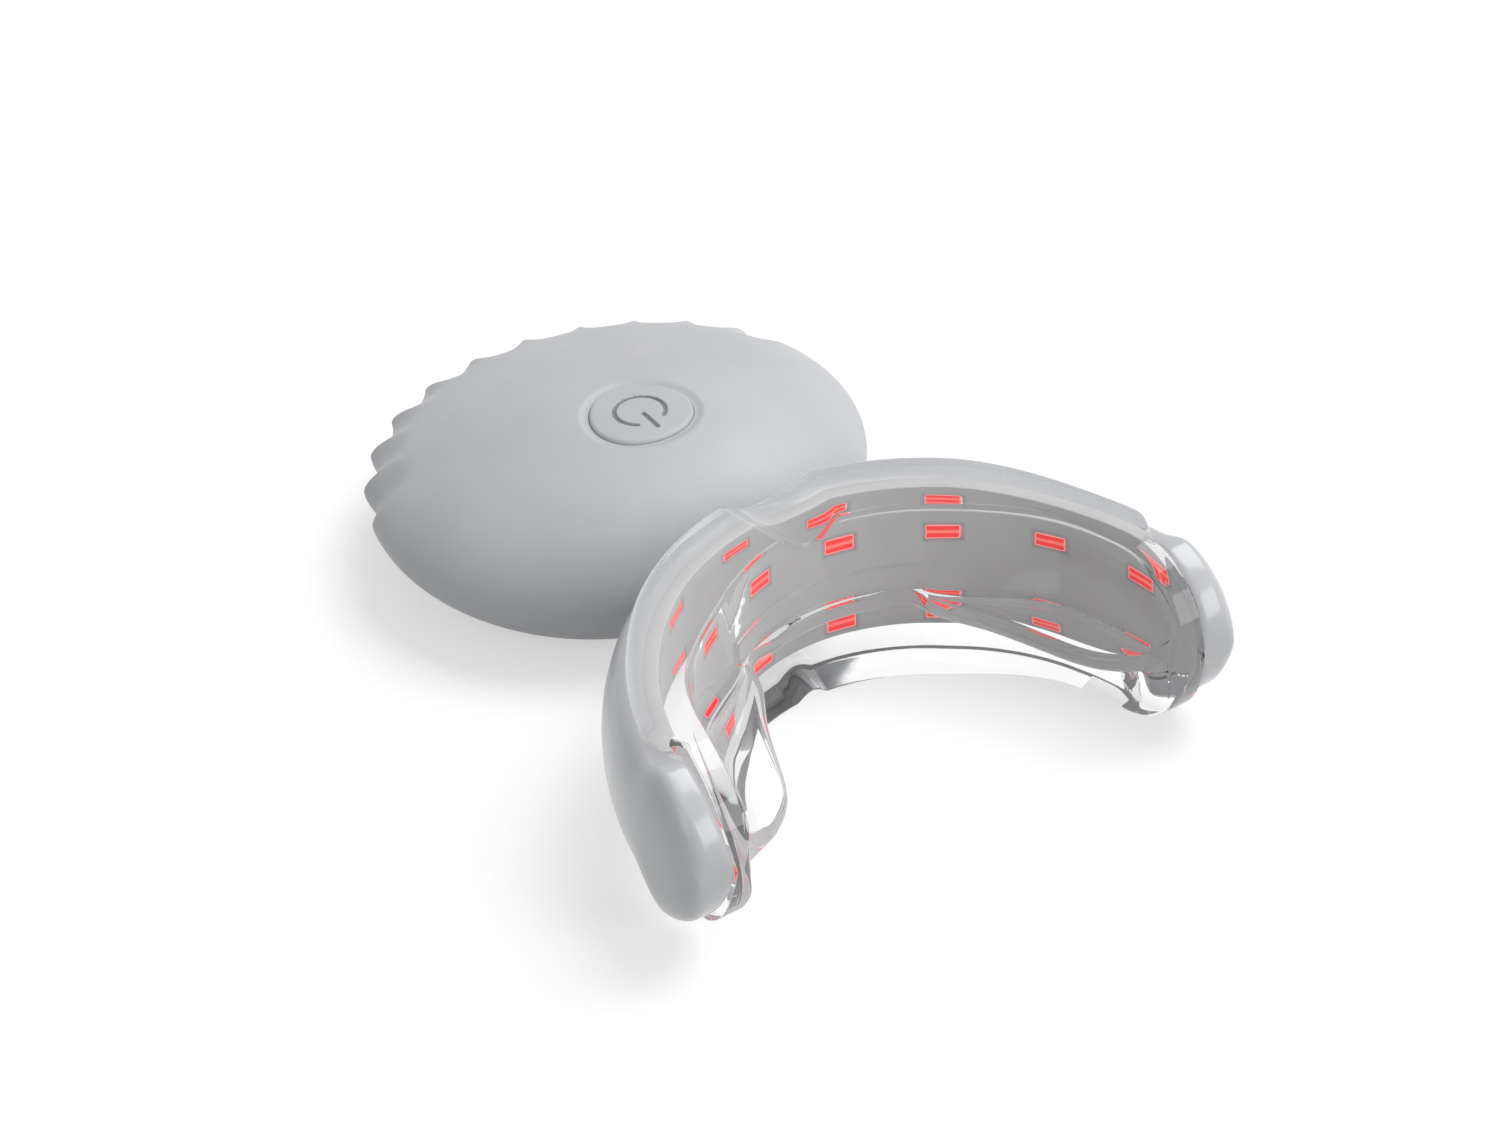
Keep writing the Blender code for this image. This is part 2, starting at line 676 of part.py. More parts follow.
def make_casing(grey):
    """Outer casing of the strip, with a recess for the light board and a hole for the neck."""
    along = list(np.linspace(0, HALF_ARC - TIP_ROUND, CASING_SPANS, False))
    arcs = both_ways(along + tip_arcs(HALF_ARC))
    casing = loft("arch_casing", [arch_section(a, casing_outline(a)) for a in arcs], grey)
    face = CASING_FACE - OVERRUN
    arcs = light_board_arcs(LIGHT_BOARD_HALF_LENGTH + SEAT_GAP)
    rings = [
        arch_section(a, light_board_outline(a, face, RECESS_BACK, SEAT_GAP)) for a in arcs
    ]
    combine(casing, loft("light board recess", rings), "DIFFERENCE")
    combine(casing, neck_solid("casing neck hole", SEAT_GAP, OVERRUN), "DIFFERENCE")
    return casing


def light_board_arcs(half_length):
    """Arc lengths along the light board and round its ends."""
    straight = half_length - LIGHT_BOARD_END_ROUND
    ends = [straight + LIGHT_BOARD_END_ROUND * share for share in LIGHT_BOARD_END_SHARES]
    return both_ways(list(np.linspace(0, straight, LIGHT_BOARD_SPANS + 1)) + ends)


def make_light_board(board_green):
    """Thin curved board that carries the lights."""
    arcs = light_board_arcs(LIGHT_BOARD_HALF_LENGTH)
    rings = [
        arch_section(a, light_board_outline(a, CASING_FACE, LIGHT_BOARD_BACK, 0)) for a in arcs
    ]
    return loft("led_board", rings, board_green)


def light_places():
    """Arc length and height of each light, by name."""
    places = {}
    for row, side in (("upper", 1), ("lower", -1)):
        for i in range(LIGHTS_PER_ROW):
            arc = (i - (LIGHTS_PER_ROW - 1) / 2) * LIGHT_PITCH
            height = BITE_PLANE_Z + LIGHT_ROWS_MIDDLE + side * LIGHT_ROW_RISE
            places[f"led_{row}_{i + 1}"] = (arc, height)
    return places


def make_panel(grey):
    """Panel between the lights and the tray, with a window for each light."""
    along = list(np.linspace(0, HALF_ARC - TIP_ROUND, PANEL_SPANS, False))
    arcs = both_ways(along + tip_arcs(HALF_ARC))
    panel = loft("led_panel", [arch_section(a, panel_outline(a)) for a in arcs], grey)
    form = bmesh.new()
    size = (LIGHT_LENGTH + 2 * SEAT_GAP, PANEL_THICKNESS + OVERRUN, LIGHT_HEIGHT + 2 * SEAT_GAP)
    for arc, height in light_places().values():
        x, y = on_arch(arc, (PANEL_FACE + PANEL_BACK) / 2)
        place = Matrix.Translation((x, y, height)) @ Matrix.Rotation(turn_at(arc), 4, "Z")
        bmesh.ops.create_cube(form, size=1, matrix=place @ Matrix.Diagonal((*size, 1)))
    mesh = bpy.data.meshes.new("light windows")
    form.to_mesh(mesh)
    form.free()
    combine(panel, add_piece("light windows", mesh), "DIFFERENCE")
    return panel


def make_lights(red):
    """Sixteen flat lights in two rows, one in each window."""
    face = PANEL_FACE + LIGHT_SUNK
    size = (LIGHT_LENGTH, PANEL_BACK - face, LIGHT_HEIGHT)
    for name, (arc, height) in light_places().items():
        x, y = on_arch(arc, (face + PANEL_BACK) / 2)
        light = block(name, (x, y, height), size, LIGHT_EDGE, red)
        light.rotation_euler = (0, 0, turn_at(arc))


# Pod


def pod_height(x, y):
    """Height of the pod's smooth top over a place given from the pod's middle."""
    reach = (x / POD_HALF_WIDTH) ** 2 + (y / POD_HALF_LENGTH) ** 2
    lift = POD_RISE * (1 - reach) ** (POD_CURVE_POWER / 2)
    return POD_WAIST_HEIGHT + lift * lean(y / POD_HALF_LENGTH)


def lean(y_share):
    """How the top's height changes from the pod's front to its back."""
    return 1 - POD_LEAN_SHARE * y_share


COLLAR_LOW = pod_height(0, -BUTTON_AHEAD) - COLLAR_DEPTH
SEAL_TOP = COLLAR_LOW - SEAT_GAP
SEAL_LOW = SEAL_TOP - SEAL_THICKNESS
FLANGE_TOP = SEAL_LOW - SEAT_GAP
FLANGE_LOW = FLANGE_TOP - BUTTON_FLANGE_THICKNESS


def pod_profile(rise, drop, low, top_rings, low_rings):
    """Rings of the pod from its rim up: (share of the plan's radius, height above the waist)."""
    cut = ((POD_WAIST_HEIGHT - low) / drop) ** (1 / POD_CURVE_POWER)
    rings = []
    for angle in np.linspace(math.acos(cut), math.pi / 2, low_rings, False):
        rings.append((math.sin(angle), -drop * math.cos(angle) ** POD_CURVE_POWER))
    for angle in np.linspace(math.pi / 2, math.radians(LAST_RING_DEGREES), top_rings):
        rings.append((math.sin(angle), rise * max(math.cos(angle), 0) ** POD_CURVE_POWER))
    return rings


def flute_angles():
    """Angles round the plan, closer together on the fluted side, with 90 degrees at the back."""
    half_span = FLUTE_PITCH_DEGREES * FLUTES / 2
    fluted = np.linspace(90 - half_span, 90 + half_span, FLUTES * FLUTE_STEPS, False)
    smooth = np.linspace(90 + half_span, 450 - half_span, FRONT_STEPS, False)
    return np.concatenate([fluted, smooth])


def flute_share(degrees):
    """Depth of the scoop here: 0 on each ridge and on the smooth front, 1 in a scoop's middle."""
    half_span = FLUTE_PITCH_DEGREES * FLUTES / 2
    along = degrees - (90 - half_span)
    if along >= 2 * half_span:
        return 0.0
    across = 2 * (along / FLUTE_PITCH_DEGREES % 1) - 1
    return 1 - across * across


def flute_depth_at(radius_share, lift):
    """Scoop depth at this ring: full at the waist, none on the crown and near the base."""
    if lift >= 0:
        return FLUTE_DEPTH * blend_share(radius_share, FLUTE_TOP_START_SHARE, FLUTE_TOP_FULL_SHARE)
    return FLUTE_DEPTH * (1 - blend_share(-lift, 0, FLUTE_LOW_END))


def leaned_height(lift, y_share):
    """Height above the table of a point this far above or below the waist."""
    return POD_WAIST_HEIGHT + (lift * lean(y_share) if lift > 0 else lift)


def pod_ring(radius_share, lift):
    """One fluted ring of the pod's outer surface."""
    depth = flute_depth_at(radius_share, lift)
    ring = []
    for degrees in flute_angles():
        scoop = depth * flute_share(degrees)
        angle = math.radians(degrees)
        x = (POD_HALF_WIDTH * radius_share - scoop) * math.cos(angle)
        y = (POD_HALF_LENGTH * radius_share - scoop) * math.sin(angle)
        ring.append((x, POD_Y + y, leaned_height(lift, radius_share * math.sin(angle))))
    return ring


def rim_half_sizes():
    """Half width and half length of the shell's lower rim."""
    share = pod_profile(POD_RISE, POD_DROP, POD_RIM_HEIGHT, TOP_RINGS, LOW_RINGS)[0][0]
    return POD_HALF_WIDTH * share, POD_HALF_LENGTH * share


def lid_half_sizes():
    """Half width and half length of the lid, which lies inside the shell's rim."""
    half_x, half_y = rim_half_sizes()
    return half_x - POD_WALL - SEAT_GAP, half_y - POD_WALL - SEAT_GAP


def pod_cavity():
    """The space inside the shell, less the button's collar and the light pipe's boss."""
    inset = POD_WALL + FLUTE_DEPTH / 2
    half_x = POD_HALF_WIDTH - inset
    half_y = POD_HALF_LENGTH - inset
    rise = POD_RISE - POD_WALL
    drop = POD_DROP - POD_WALL
    profile = pod_profile(rise, drop, LEDGE_TOP, CAVITY_TOP_RINGS, CAVITY_LOW_RINGS)
    rings = []
    for share, lift in profile:
        outline = oval(half_x * share, half_y * share, count=CAVITY_POINTS)
        rings.append([(x, POD_Y + y, leaned_height(lift, y / half_y)) for x, y in outline])
    cavity = loft("pod cavity", rings, pole=(0, POD_Y, pod_height(0, 0) - POD_WALL))
    above = POD_TOP + OVERRUN
    collar = button_outline(BUTTON_GAP + COLLAR_WALL)
    combine(cavity, plate("button collar", [collar], COLLAR_LOW, above), "DIFFERENCE")
    boss_radius = PIPE_RADIUS + SEAT_GAP + PIPE_BOSS_WALL
    boss = circle(boss_radius, STATUS_X, POD_Y + STATUS_Y, BORE_POINTS)
    boss_low = pod_height(STATUS_X, STATUS_Y) - POD_WALL - PIPE_BOSS_DEPTH
    combine(cavity, plate("light pipe boss", [boss], boss_low, above), "DIFFERENCE")
    return cavity


def make_shell(grey):
    """Fluted pod shell, hollow, with holes for the lid, the neck, the button and the light."""
    profile = pod_profile(POD_RISE, POD_DROP, POD_RIM_HEIGHT, TOP_RINGS, LOW_RINGS)
    rings = [pod_ring(share, lift) for share, lift in profile]
    shell = loft("pod_shell", rings, grey, pole=(0, POD_Y, pod_height(0, 0)))
    combine(shell, pod_cavity(), "DIFFERENCE")
    lid_x, lid_y = lid_half_sizes()
    seat = oval(lid_x + SEAT_GAP, lid_y + SEAT_GAP, 0, POD_Y)
    combine(shell, plate("lid seat", [seat], -OVERRUN, LEDGE_LOW), "DIFFERENCE")
    way_in = oval(lid_x - LEDGE_WIDTH, lid_y - LEDGE_WIDTH, 0, POD_Y)
    above = LEDGE_TOP + OVERRUN
    combine(shell, plate("way in", [way_in], -OVERRUN, above), "DIFFERENCE")
    combine(shell, neck_solid("shell neck hole", SEAT_GAP, 0), "DIFFERENCE")
    combine(shell, button_mouth(), "DIFFERENCE")
    bore = circle(PIPE_RADIUS + SEAT_GAP, STATUS_X, POD_Y + STATUS_Y, BORE_POINTS)
    bore_top = pod_height(STATUS_X, STATUS_Y) - PIPE_SKIN
    combine(shell, plate("light pipe bore", [bore], ON_BOARD, bore_top), "DIFFERENCE")
    return shell


def button_outline(grow=0.0):
    """Rounded three-cornered outline of the button, grown by a distance."""
    points = []
    for i in range(BUTTON_POINTS):
        angle = math.tau * i / BUTTON_POINTS
        swell = 1 + BUTTON_CORNER_SHARE * math.cos(BUTTON_CORNERS * (angle - math.pi / 2))
        radius = BUTTON_RADIUS * swell + grow
        points.append((radius * math.cos(angle), POD_Y - BUTTON_AHEAD + radius * math.sin(angle)))
    return points


def ring_at(outline, height):
    """A level ring."""
    return [(x, y, height) for x, y in outline]


def ring_on_pod(outline, above):
    """A ring that follows the pod's top, this far above it."""
    return [(x, y, pod_height(x, y - POD_Y) + above) for x, y in outline]


def button_mouth():
    """Cutter for the button's hole, which flares softly at the pod's surface."""
    rings = [
        ring_at(button_outline(BUTTON_GAP), COLLAR_LOW - OVERRUN),
        ring_on_pod(button_outline(BUTTON_GAP), -MOUTH_DEPTH),
        ring_on_pod(
            button_outline(BUTTON_GAP + EDGE_BEND_SHARE * MOUTH_FLARE),
            -EDGE_BEND_SHARE * MOUTH_DEPTH,
        ),
        ring_on_pod(button_outline(BUTTON_GAP + MOUTH_FLARE), MOUTH_LIP_RISE),
        ring_at(button_outline(BUTTON_GAP + MOUTH_FLARE), POD_TOP + OVERRUN),
    ]
    return loft("button mouth", rings)


def make_button(grey):
    """Power button: a cap flush with the pod, on a flange that the seal holds in."""
    flange = button_outline(BUTTON_FLANGE_REACH)
    edge_middle = EDGE_BEND_SHARE * BUTTON_EDGE_ROUND
    foot = circle(BUTTON_FOOT_RADIUS, 0, POD_Y - BUTTON_AHEAD, BUTTON_POINTS)
    rings = [
        ring_at(foot, BUTTON_FOOT),
        ring_at(foot, FLANGE_LOW),
        ring_at(flange, FLANGE_LOW),
        ring_at(flange, FLANGE_TOP),
        ring_at(button_outline(), FLANGE_TOP),
        ring_on_pod(button_outline(), -BUTTON_EDGE_ROUND),
        ring_on_pod(button_outline(-edge_middle), -edge_middle),
        ring_on_pod(button_outline(-BUTTON_EDGE_ROUND), 0),
        ring_on_pod(button_outline(-BUTTON_RADIUS / 2), 0),
    ]
    top = pod_height(0, -BUTTON_AHEAD)
    pole = (0, POD_Y - BUTTON_AHEAD, top)
    button = loft("power_button", rings, grey, pole)
    button.data.transform(Matrix.Translation((0, BUTTON_AHEAD - POD_Y, -top)))
    button.location = pole
    return button


def make_button_seal(rubber):
    """Soft ring under the collar that keeps water out round the button."""
    outlines = [button_outline(BUTTON_GAP + SEAL_REACH), button_outline(BUTTON_GAP)]
    return plate("button_seal", outlines, SEAL_LOW, SEAL_TOP, rubber)


def make_switch(black, white):
    """Push switch on the main board and its plunger, which moves with the button."""
    place_y = POD_Y - BUTTON_AHEAD
    half = SWITCH_SIZE / 2
    square = [
        (-half, place_y - half),
        (half, place_y - half),
        (half, place_y + half),
        (-half, place_y + half),
    ]
    bore = circle(PLUNGER_RADIUS + SEAT_GAP, 0, place_y)
    plate("tact_switch", [square, bore], ON_BOARD, SWITCH_TOP, black)
    profile = [
        (0, PLUNGER_HEIGHT),
        (PLUNGER_RADIUS - LIGHT_EDGE, PLUNGER_HEIGHT),
        (PLUNGER_RADIUS, PLUNGER_HEIGHT - LIGHT_EDGE),
        (PLUNGER_RADIUS, 0),
        (0, 0),
    ]
    turned("switch_plunger", profile, (0, place_y, PLUNGER_LOW), white)


def make_status_light(clear, red):
    """Light pipe under a thin spot of the shell, and the small light below it."""
    low = ON_BOARD + STATUS_LED_THICKNESS + SEAT_GAP
    high = pod_height(STATUS_X, STATUS_Y) - PIPE_SKIN - SEAT_GAP
    profile = [(0, high - low), (PIPE_RADIUS, high - low), (PIPE_RADIUS, 0), (0, 0)]
    turned("status_light", profile, (STATUS_X, POD_Y + STATUS_Y, low), clear, SMALL_TURN_STEPS)
    middle = ON_BOARD + STATUS_LED_THICKNESS / 2
    size = (STATUS_LED_LENGTH, STATUS_LED_WIDTH, STATUS_LED_THICKNESS)
    block("status_led", (STATUS_X, POD_Y + STATUS_Y, middle), size, 0, red)


# Inside the pod


def post_places():
    """Middles of the posts that carry the main board."""
    return ((-POST_X, POD_Y), (POST_X, POD_Y), (0, POD_Y + POST_BACK_Y))


def make_lid(grey):
    """Base lid that the pod stands on, with a gasket groove and three posts."""
    half_x, half_y = lid_half_sizes()
    rings = [
        ring_at(oval(half_x - LID_EDGE_ROUND, half_y - LID_EDGE_ROUND, 0, POD_Y), 0),
        ring_at(oval(half_x, half_y, 0, POD_Y), LID_EDGE_ROUND),
        ring_at(oval(half_x, half_y, 0, POD_Y), LID_THICKNESS),
    ]
    lid = loft("pod_base", rings, grey)
    outer = oval(half_x - GASKET_INSET, half_y - GASKET_INSET, 0, POD_Y)
    inset = GASKET_INSET + GASKET_SIZE + 2 * SEAT_GAP
    inner = oval(half_x - inset, half_y - inset, 0, POD_Y)
    floor = LEDGE_LOW - 2 * SEAT_GAP - GASKET_SIZE
    groove = plate("gasket groove", [outer, inner], floor, LID_THICKNESS + OVERRUN)
    combine(lid, groove, "DIFFERENCE")
    post_top = MAIN_BOARD_LOW - SEAT_GAP
    for i, (x, y) in enumerate(post_places(), 1):
        outline = circle(POST_RADIUS, x, y, POST_POINTS)
        post = plate(f"post {i}", [outline], LID_THICKNESS / 2, post_top)
        combine(lid, post, "UNION")
        bore = circle(SCREW_RADIUS + SEAT_GAP, x, y, BORE_POINTS)
        bore_low = post_top - SCREW_GRIP - SEAT_GAP
        hole = plate(f"screw bore {i}", [bore], bore_low, post_top + OVERRUN)
        combine(lid, hole, "DIFFERENCE")
    return lid


def make_gasket(rubber):
    """Soft ring between the lid and the shell's ledge."""
    half_x, half_y = lid_half_sizes()
    start = GASKET_INSET + SEAT_GAP
    end = start + GASKET_SIZE
    outlines = [
        oval(half_x - start, half_y - start, 0, POD_Y),
        oval(half_x - end, half_y - end, 0, POD_Y),
    ]
    high = LEDGE_LOW - SEAT_GAP
    return plate("seam_gasket", outlines, high - GASKET_SIZE, high, rubber)


def make_charging_coil(copper, ferrite):
    """Flat coil on the lid and the sheet that shields the battery from it."""
    outer = circle(COIL_RADIUS, 0, POD_Y, COIL_POINTS)
    outlines = [outer, circle(COIL_BORE_RADIUS, 0, POD_Y, COIL_POINTS)]
    plate("charging_coil", outlines, COIL_LOW, COIL_LOW + COIL_THICKNESS, copper)
    plate("ferrite_sheet", [outer], FERRITE_LOW, FERRITE_LOW + FERRITE_THICKNESS, ferrite)


def make_battery(foil, foam, red, black):
    """Flat battery, the foam pad over it and its two leads."""
    middle = BATTERY_LOW + BATTERY_THICKNESS / 2
    size = (BATTERY_WIDTH, BATTERY_LENGTH, BATTERY_THICKNESS)
    block("battery", (0, POD_Y, middle), size, BATTERY_EDGE, foil)
    pad_size = (PAD_WIDTH, PAD_LENGTH, PAD_THICKNESS)
    block("battery_pad", (0, POD_Y, PAD_LOW + PAD_THICKNESS / 2), pad_size, 0, foam)
    start = POD_Y - BATTERY_LENGTH / 2 - SEAT_GAP
    top = MAIN_BOARD_LOW - SEAT_GAP
    centre = (start - LEAD_BEND / 2, middle + LEAD_BEND)
    for name, x, paint in (
        ("battery_lead_red", LEAD_SPREAD, red),
        ("battery_lead_black", -LEAD_SPREAD, black),
    ):
        turn = [(y, z) for y, z in bend(centre, LEAD_BEND, -90, -180)]
        route = [(x, start, middle)] + [(x, y, z) for y, z in turn]
        wire(name, route + [(x, turn[-1][0], top)], LEAD_RADIUS, paint)


def main_board_half_sizes():
    """Half width and half length of the main board, which passes the shell's ledge."""
    half_x, half_y = lid_half_sizes()
    return half_x - LEDGE_WIDTH - SEAT_GAP, half_y - LEDGE_WIDTH - SEAT_GAP


def make_main_board(green, black, steel):
    """Main board with its chips, screwed to the lid's posts."""
    half_x, half_y = main_board_half_sizes()
    holes = [circle(SCREW_RADIUS + SEAT_GAP, x, y, BORE_POINTS) for x, y in post_places()]
    high = MAIN_BOARD_LOW + MAIN_BOARD_THICKNESS
    plate("main_board", [oval(half_x, half_y, 0, POD_Y)] + holes, MAIN_BOARD_LOW, high, green)
    chips = (
        ("control_chip", CONTROL_CHIP_X, CONTROL_CHIP_Y, CONTROL_CHIP_SIZE),
        ("charge_chip", CHARGE_CHIP_X, CHARGE_CHIP_Y, SMALL_CHIP_SIZE),
        ("led_driver", DRIVER_CHIP_X, DRIVER_CHIP_Y, SMALL_CHIP_SIZE),
    )
    for name, x, y, side in chips:
        place = (x, POD_Y + y, ON_BOARD + CHIP_THICKNESS / 2)
        block(name, place, (side, side, CHIP_THICKNESS), CHIP_EDGE, black)
    low = MAIN_BOARD_LOW - SEAT_GAP - SCREW_GRIP
    profile = [
        (0, ON_BOARD + SCREW_HEAD_HEIGHT - low),
        (SCREW_HEAD_RADIUS, ON_BOARD + SCREW_HEAD_HEIGHT - low),
        (SCREW_HEAD_RADIUS, ON_BOARD - low),
        (SCREW_RADIUS, ON_BOARD - low),
        (SCREW_RADIUS, 0),
        (0, 0),
    ]
    for i, (x, y) in enumerate(post_places(), 1):
        turned(f"board_screw_{i}", profile, (x, y, low), steel, SMALL_TURN_STEPS)


# Neck


def neck_front():
    """The neck's end inside the casing, just behind the light board."""
    return ARCH_FRONT_Y - FLANGE_REACH_FRONT + RECESS_BACK


def neck_back():
    """The neck's end inside the pod."""
    return POD_Y - main_board_half_sizes()[1] - SEAT_GAP


def neck_solid(name, gap, front_overrun):
    """Cutter for the hole that takes the neck."""
    half_x = NECK_HALF_WIDTH + gap
    half_z = NECK_HALF_HEIGHT + gap
    outline = oval(half_x, half_z, 0, NECK_HEIGHT, NECK_POINTS)
    turn = Matrix.Rotation(math.radians(90), 4, "X")
    low = -(neck_back() + OVERRUN)
    return plate(name, [outline], low, -(neck_front() - front_overrun), turn=turn)


def make_neck(grey):
    """Short oval tube between the casing and the pod."""
    outer = oval(NECK_HALF_WIDTH, NECK_HALF_HEIGHT, 0, NECK_HEIGHT, NECK_POINTS)
    bore_x = NECK_HALF_WIDTH - NECK_WALL
    bore_z = NECK_HALF_HEIGHT - NECK_WALL
    outlines = [outer, oval(bore_x, bore_z, 0, NECK_HEIGHT, NECK_POINTS)]
    turn = Matrix.Rotation(math.radians(90), 4, "X")
    return plate("neck_bridge", outlines, -neck_back(), -neck_front(), grey, turn)


def make_cable(amber):
    """Flat cable from the main board through the neck to the back of the light board."""
    level = MAIN_BOARD_LOW - SEAT_GAP - CABLE_THICKNESS / 2
    board_y = POD_Y - main_board_half_sizes()[1]
    down_y = neck_front() + CABLE_THICKNESS / 2
    centre = (down_y + CABLE_BEND, level - CABLE_BEND)
    outer = CABLE_BEND + CABLE_THICKNESS / 2
    inner = CABLE_BEND - CABLE_THICKNESS / 2
    start_y = board_y + CABLE_ON_BOARD
    end_z = level - CABLE_DROP
    outline = [(start_y, level + CABLE_THICKNESS / 2)]
    outline += bend(centre, outer, 90, 180)
    outline += [(centre[0] - outer, end_z), (centre[0] - inner, end_z)]
    outline += bend(centre, inner, 180, 90)
    outline += [(start_y, level - CABLE_THICKNESS / 2)]
    stand = Matrix(((0, 0, 1, 0), (1, 0, 0, 0), (0, 1, 0, 0), (0, 0, 0, 1)))
    return plate("flex_cable", [outline], -CABLE_WIDTH / 2, CABLE_WIDTH / 2, amber, stand)


def build():
    """Make every piece of the device."""
    shell_grey = make_material("shell grey", (0.56, 0.57, 0.58), 0.42)
    button_grey = make_material("button grey", (0.54, 0.55, 0.56), 0.4)
    panel_grey = make_material("panel grey", (0.40, 0.40, 0.40), 0.5)
    clear = make_material("clear silicone", (0.92, 0.93, 0.95), 0.12)
    pipe_clear = make_material("light pipe", (0.9, 0.9, 0.9), 0.1)
    light_red = make_material("light red", (0.95, 0.10, 0.10), 0.3)
    rubber = make_material("seal rubber", (0.10, 0.10, 0.11), 0.7)
    board_green = make_material("board green", (0.03, 0.20, 0.08), 0.4)
    chip_black = make_material("chip black", (0.03, 0.03, 0.03), 0.5)
    steel = make_material("screw steel", (0.60, 0.60, 0.62), 0.3, 1.0)
    copper = make_material("coil copper", (0.72, 0.38, 0.20), 0.35, 1.0)
    ferrite = make_material("ferrite black", (0.06, 0.06, 0.06), 0.8)
    foil = make_material("battery foil", (0.70, 0.71, 0.72), 0.35, 0.8)
    foam = make_material("pad foam", (0.12, 0.12, 0.13), 0.9)
    lead_red = make_material("lead red", (0.70, 0.03, 0.03), 0.4)
    lead_black = make_material("lead black", (0.02, 0.02, 0.02), 0.4)
    cable_amber = make_material("cable amber", (0.65, 0.33, 0.05), 0.4)
    plunger_white = make_material("plunger white", (0.8, 0.8, 0.78), 0.5)
    make_tray(clear)
    make_panel(panel_grey)
    make_lights(light_red)
    make_light_board(board_green)
    make_casing(shell_grey)
    make_neck(shell_grey)
    make_cable(cable_amber)
    make_shell(shell_grey)
    make_button(button_grey)
    make_button_seal(rubber)
    make_switch(chip_black, plunger_white)
    make_status_light(pipe_clear, light_red)
    make_lid(shell_grey)
    make_gasket(rubber)
    make_charging_coil(copper, ferrite)
    make_battery(foil, foam, lead_red, lead_black)
    make_main_board(board_green, chip_black, steel)


clear_scene()
PARTS, CUTTERS = make_collections()
build()
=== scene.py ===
"""Scene of a light device for whitening teeth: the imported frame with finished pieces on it.

A clear mouth tray holds a curved strip of red lights, joined to a fluted oval pod with a power
button. Metres, +Z up. The tray opens towards -Y and the pod is at +Y.
"""

import math

import bmesh
import bpy
import numpy as np
from mathutils import Matrix, Vector


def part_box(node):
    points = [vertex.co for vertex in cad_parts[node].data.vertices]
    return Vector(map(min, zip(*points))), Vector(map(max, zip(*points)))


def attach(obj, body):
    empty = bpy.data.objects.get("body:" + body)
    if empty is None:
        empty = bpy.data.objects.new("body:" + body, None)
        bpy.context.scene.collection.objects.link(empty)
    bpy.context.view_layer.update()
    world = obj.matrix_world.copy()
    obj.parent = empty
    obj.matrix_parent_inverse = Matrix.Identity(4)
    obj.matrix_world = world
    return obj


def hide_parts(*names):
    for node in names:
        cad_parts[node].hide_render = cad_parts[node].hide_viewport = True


bl_info = {
    "name": "Whitening light scene",
    "version": (1, 0, 0),
    "blender": (4, 5, 0),
    "location": "View3D > Sidebar > Whitening light",
    "description": "Builds the finished pieces, materials and stage of a tooth whitening light",
    "category": "Object",
}

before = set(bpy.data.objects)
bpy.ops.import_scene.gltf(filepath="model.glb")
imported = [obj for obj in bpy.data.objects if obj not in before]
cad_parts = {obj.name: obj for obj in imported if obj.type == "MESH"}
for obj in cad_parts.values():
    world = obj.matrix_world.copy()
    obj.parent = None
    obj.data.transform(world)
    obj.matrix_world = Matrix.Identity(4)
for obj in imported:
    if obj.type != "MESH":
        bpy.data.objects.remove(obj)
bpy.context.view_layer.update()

# Sizes shared with the frame
SEAT_GAP = 0.0003
OVERRUN = 0.0020
ARCH_HALF_WIDTH = 0.0300
ARCH_CURVE_DEPTH = 0.0337
ARCH_CURVE_POWER = 1.97
TIP_RUN = 0.0025
TRAY_DROP_FRONT = 0.0102
TRAY_DROP_BACK = 0.0105
TRAY_RISE_FRONT = 0.0109
TRAY_RISE_BACK = 0.0099
RIM_TAPER_START = 0.0160
RIM_TAPER_END = 0.0320
TRAY_WALL_FRONT = 0.0048
TRAY_WALL_BACK = 0.0023
FLANGE_REACH_FRONT = 0.0040
FLANGE_REACH_SIDE = 0.0032
FLANGE_END_START = 0.0348
FLANGE_END = 0.0402
TIP_ROUND = 0.0095
UPPER_NOTCH_HALF_WIDTH = 0.0046
UPPER_NOTCH_DEPTH = 0.0020
LOWER_NOTCH_HALF_WIDTH = 0.0024
LOWER_NOTCH_DEPTH = 0.0008
NOTCH_CURVE_POWER = 1.5
BITE_PLATE_BELOW = 0.0007
BITE_PLATE_ABOVE = 0.0013
FRONT_SHELF_REACH = 0.0012
FRONT_STEP_REACH = 0.0004
FRONT_STEP_ABOVE = 0.0039
FRONT_STEP_HALF_LENGTH = 0.0145
FRONT_SHELF_HALF_LENGTH = 0.0078
BITE_PLATE_BACK_ARC = 0.0444
STRIP_RISE = 0.00095
STRIP_HALF_HEIGHT = 0.00695
STRIP_EDGE_INSET = 0.0002
STRIP_CROWN_OUT = 0.0026
LOBE_START = 0.0370
LOBE_FULL = 0.0408
LOBE_RISE = 0.0002
LOBE_HALF_HEIGHT = 0.0091
LOBE_TIP_SHARE = 0.45
PANEL_THICKNESS = 0.0012
LIGHT_BOARD_THICKNESS = 0.0006
LIGHT_BOARD_HALF_HEIGHT = 0.0057
LIGHT_BOARD_HALF_LENGTH = 0.0418
LIGHT_BOARD_END_ROUND = 0.0030
LIGHT_LENGTH = 0.0035
LIGHT_HEIGHT = 0.0018
LIGHT_PITCH = 0.01105
LIGHT_ROWS_MIDDLE = 0.00035
LIGHT_ROW_RISE = 0.0048
LIGHTS_PER_ROW = 8
POD_HALF_WIDTH = 0.0265
POD_HALF_LENGTH = 0.0246
POD_WAIST_HEIGHT = 0.0079
POD_RISE = 0.0094
POD_DROP = 0.0130
POD_CURVE_POWER = 1.17
POD_LEAN_SHARE = 0.40
POD_WALL = 0.0018
POD_RIM_HEIGHT = 0.0010
FLUTE_PITCH_DEGREES = 14.0
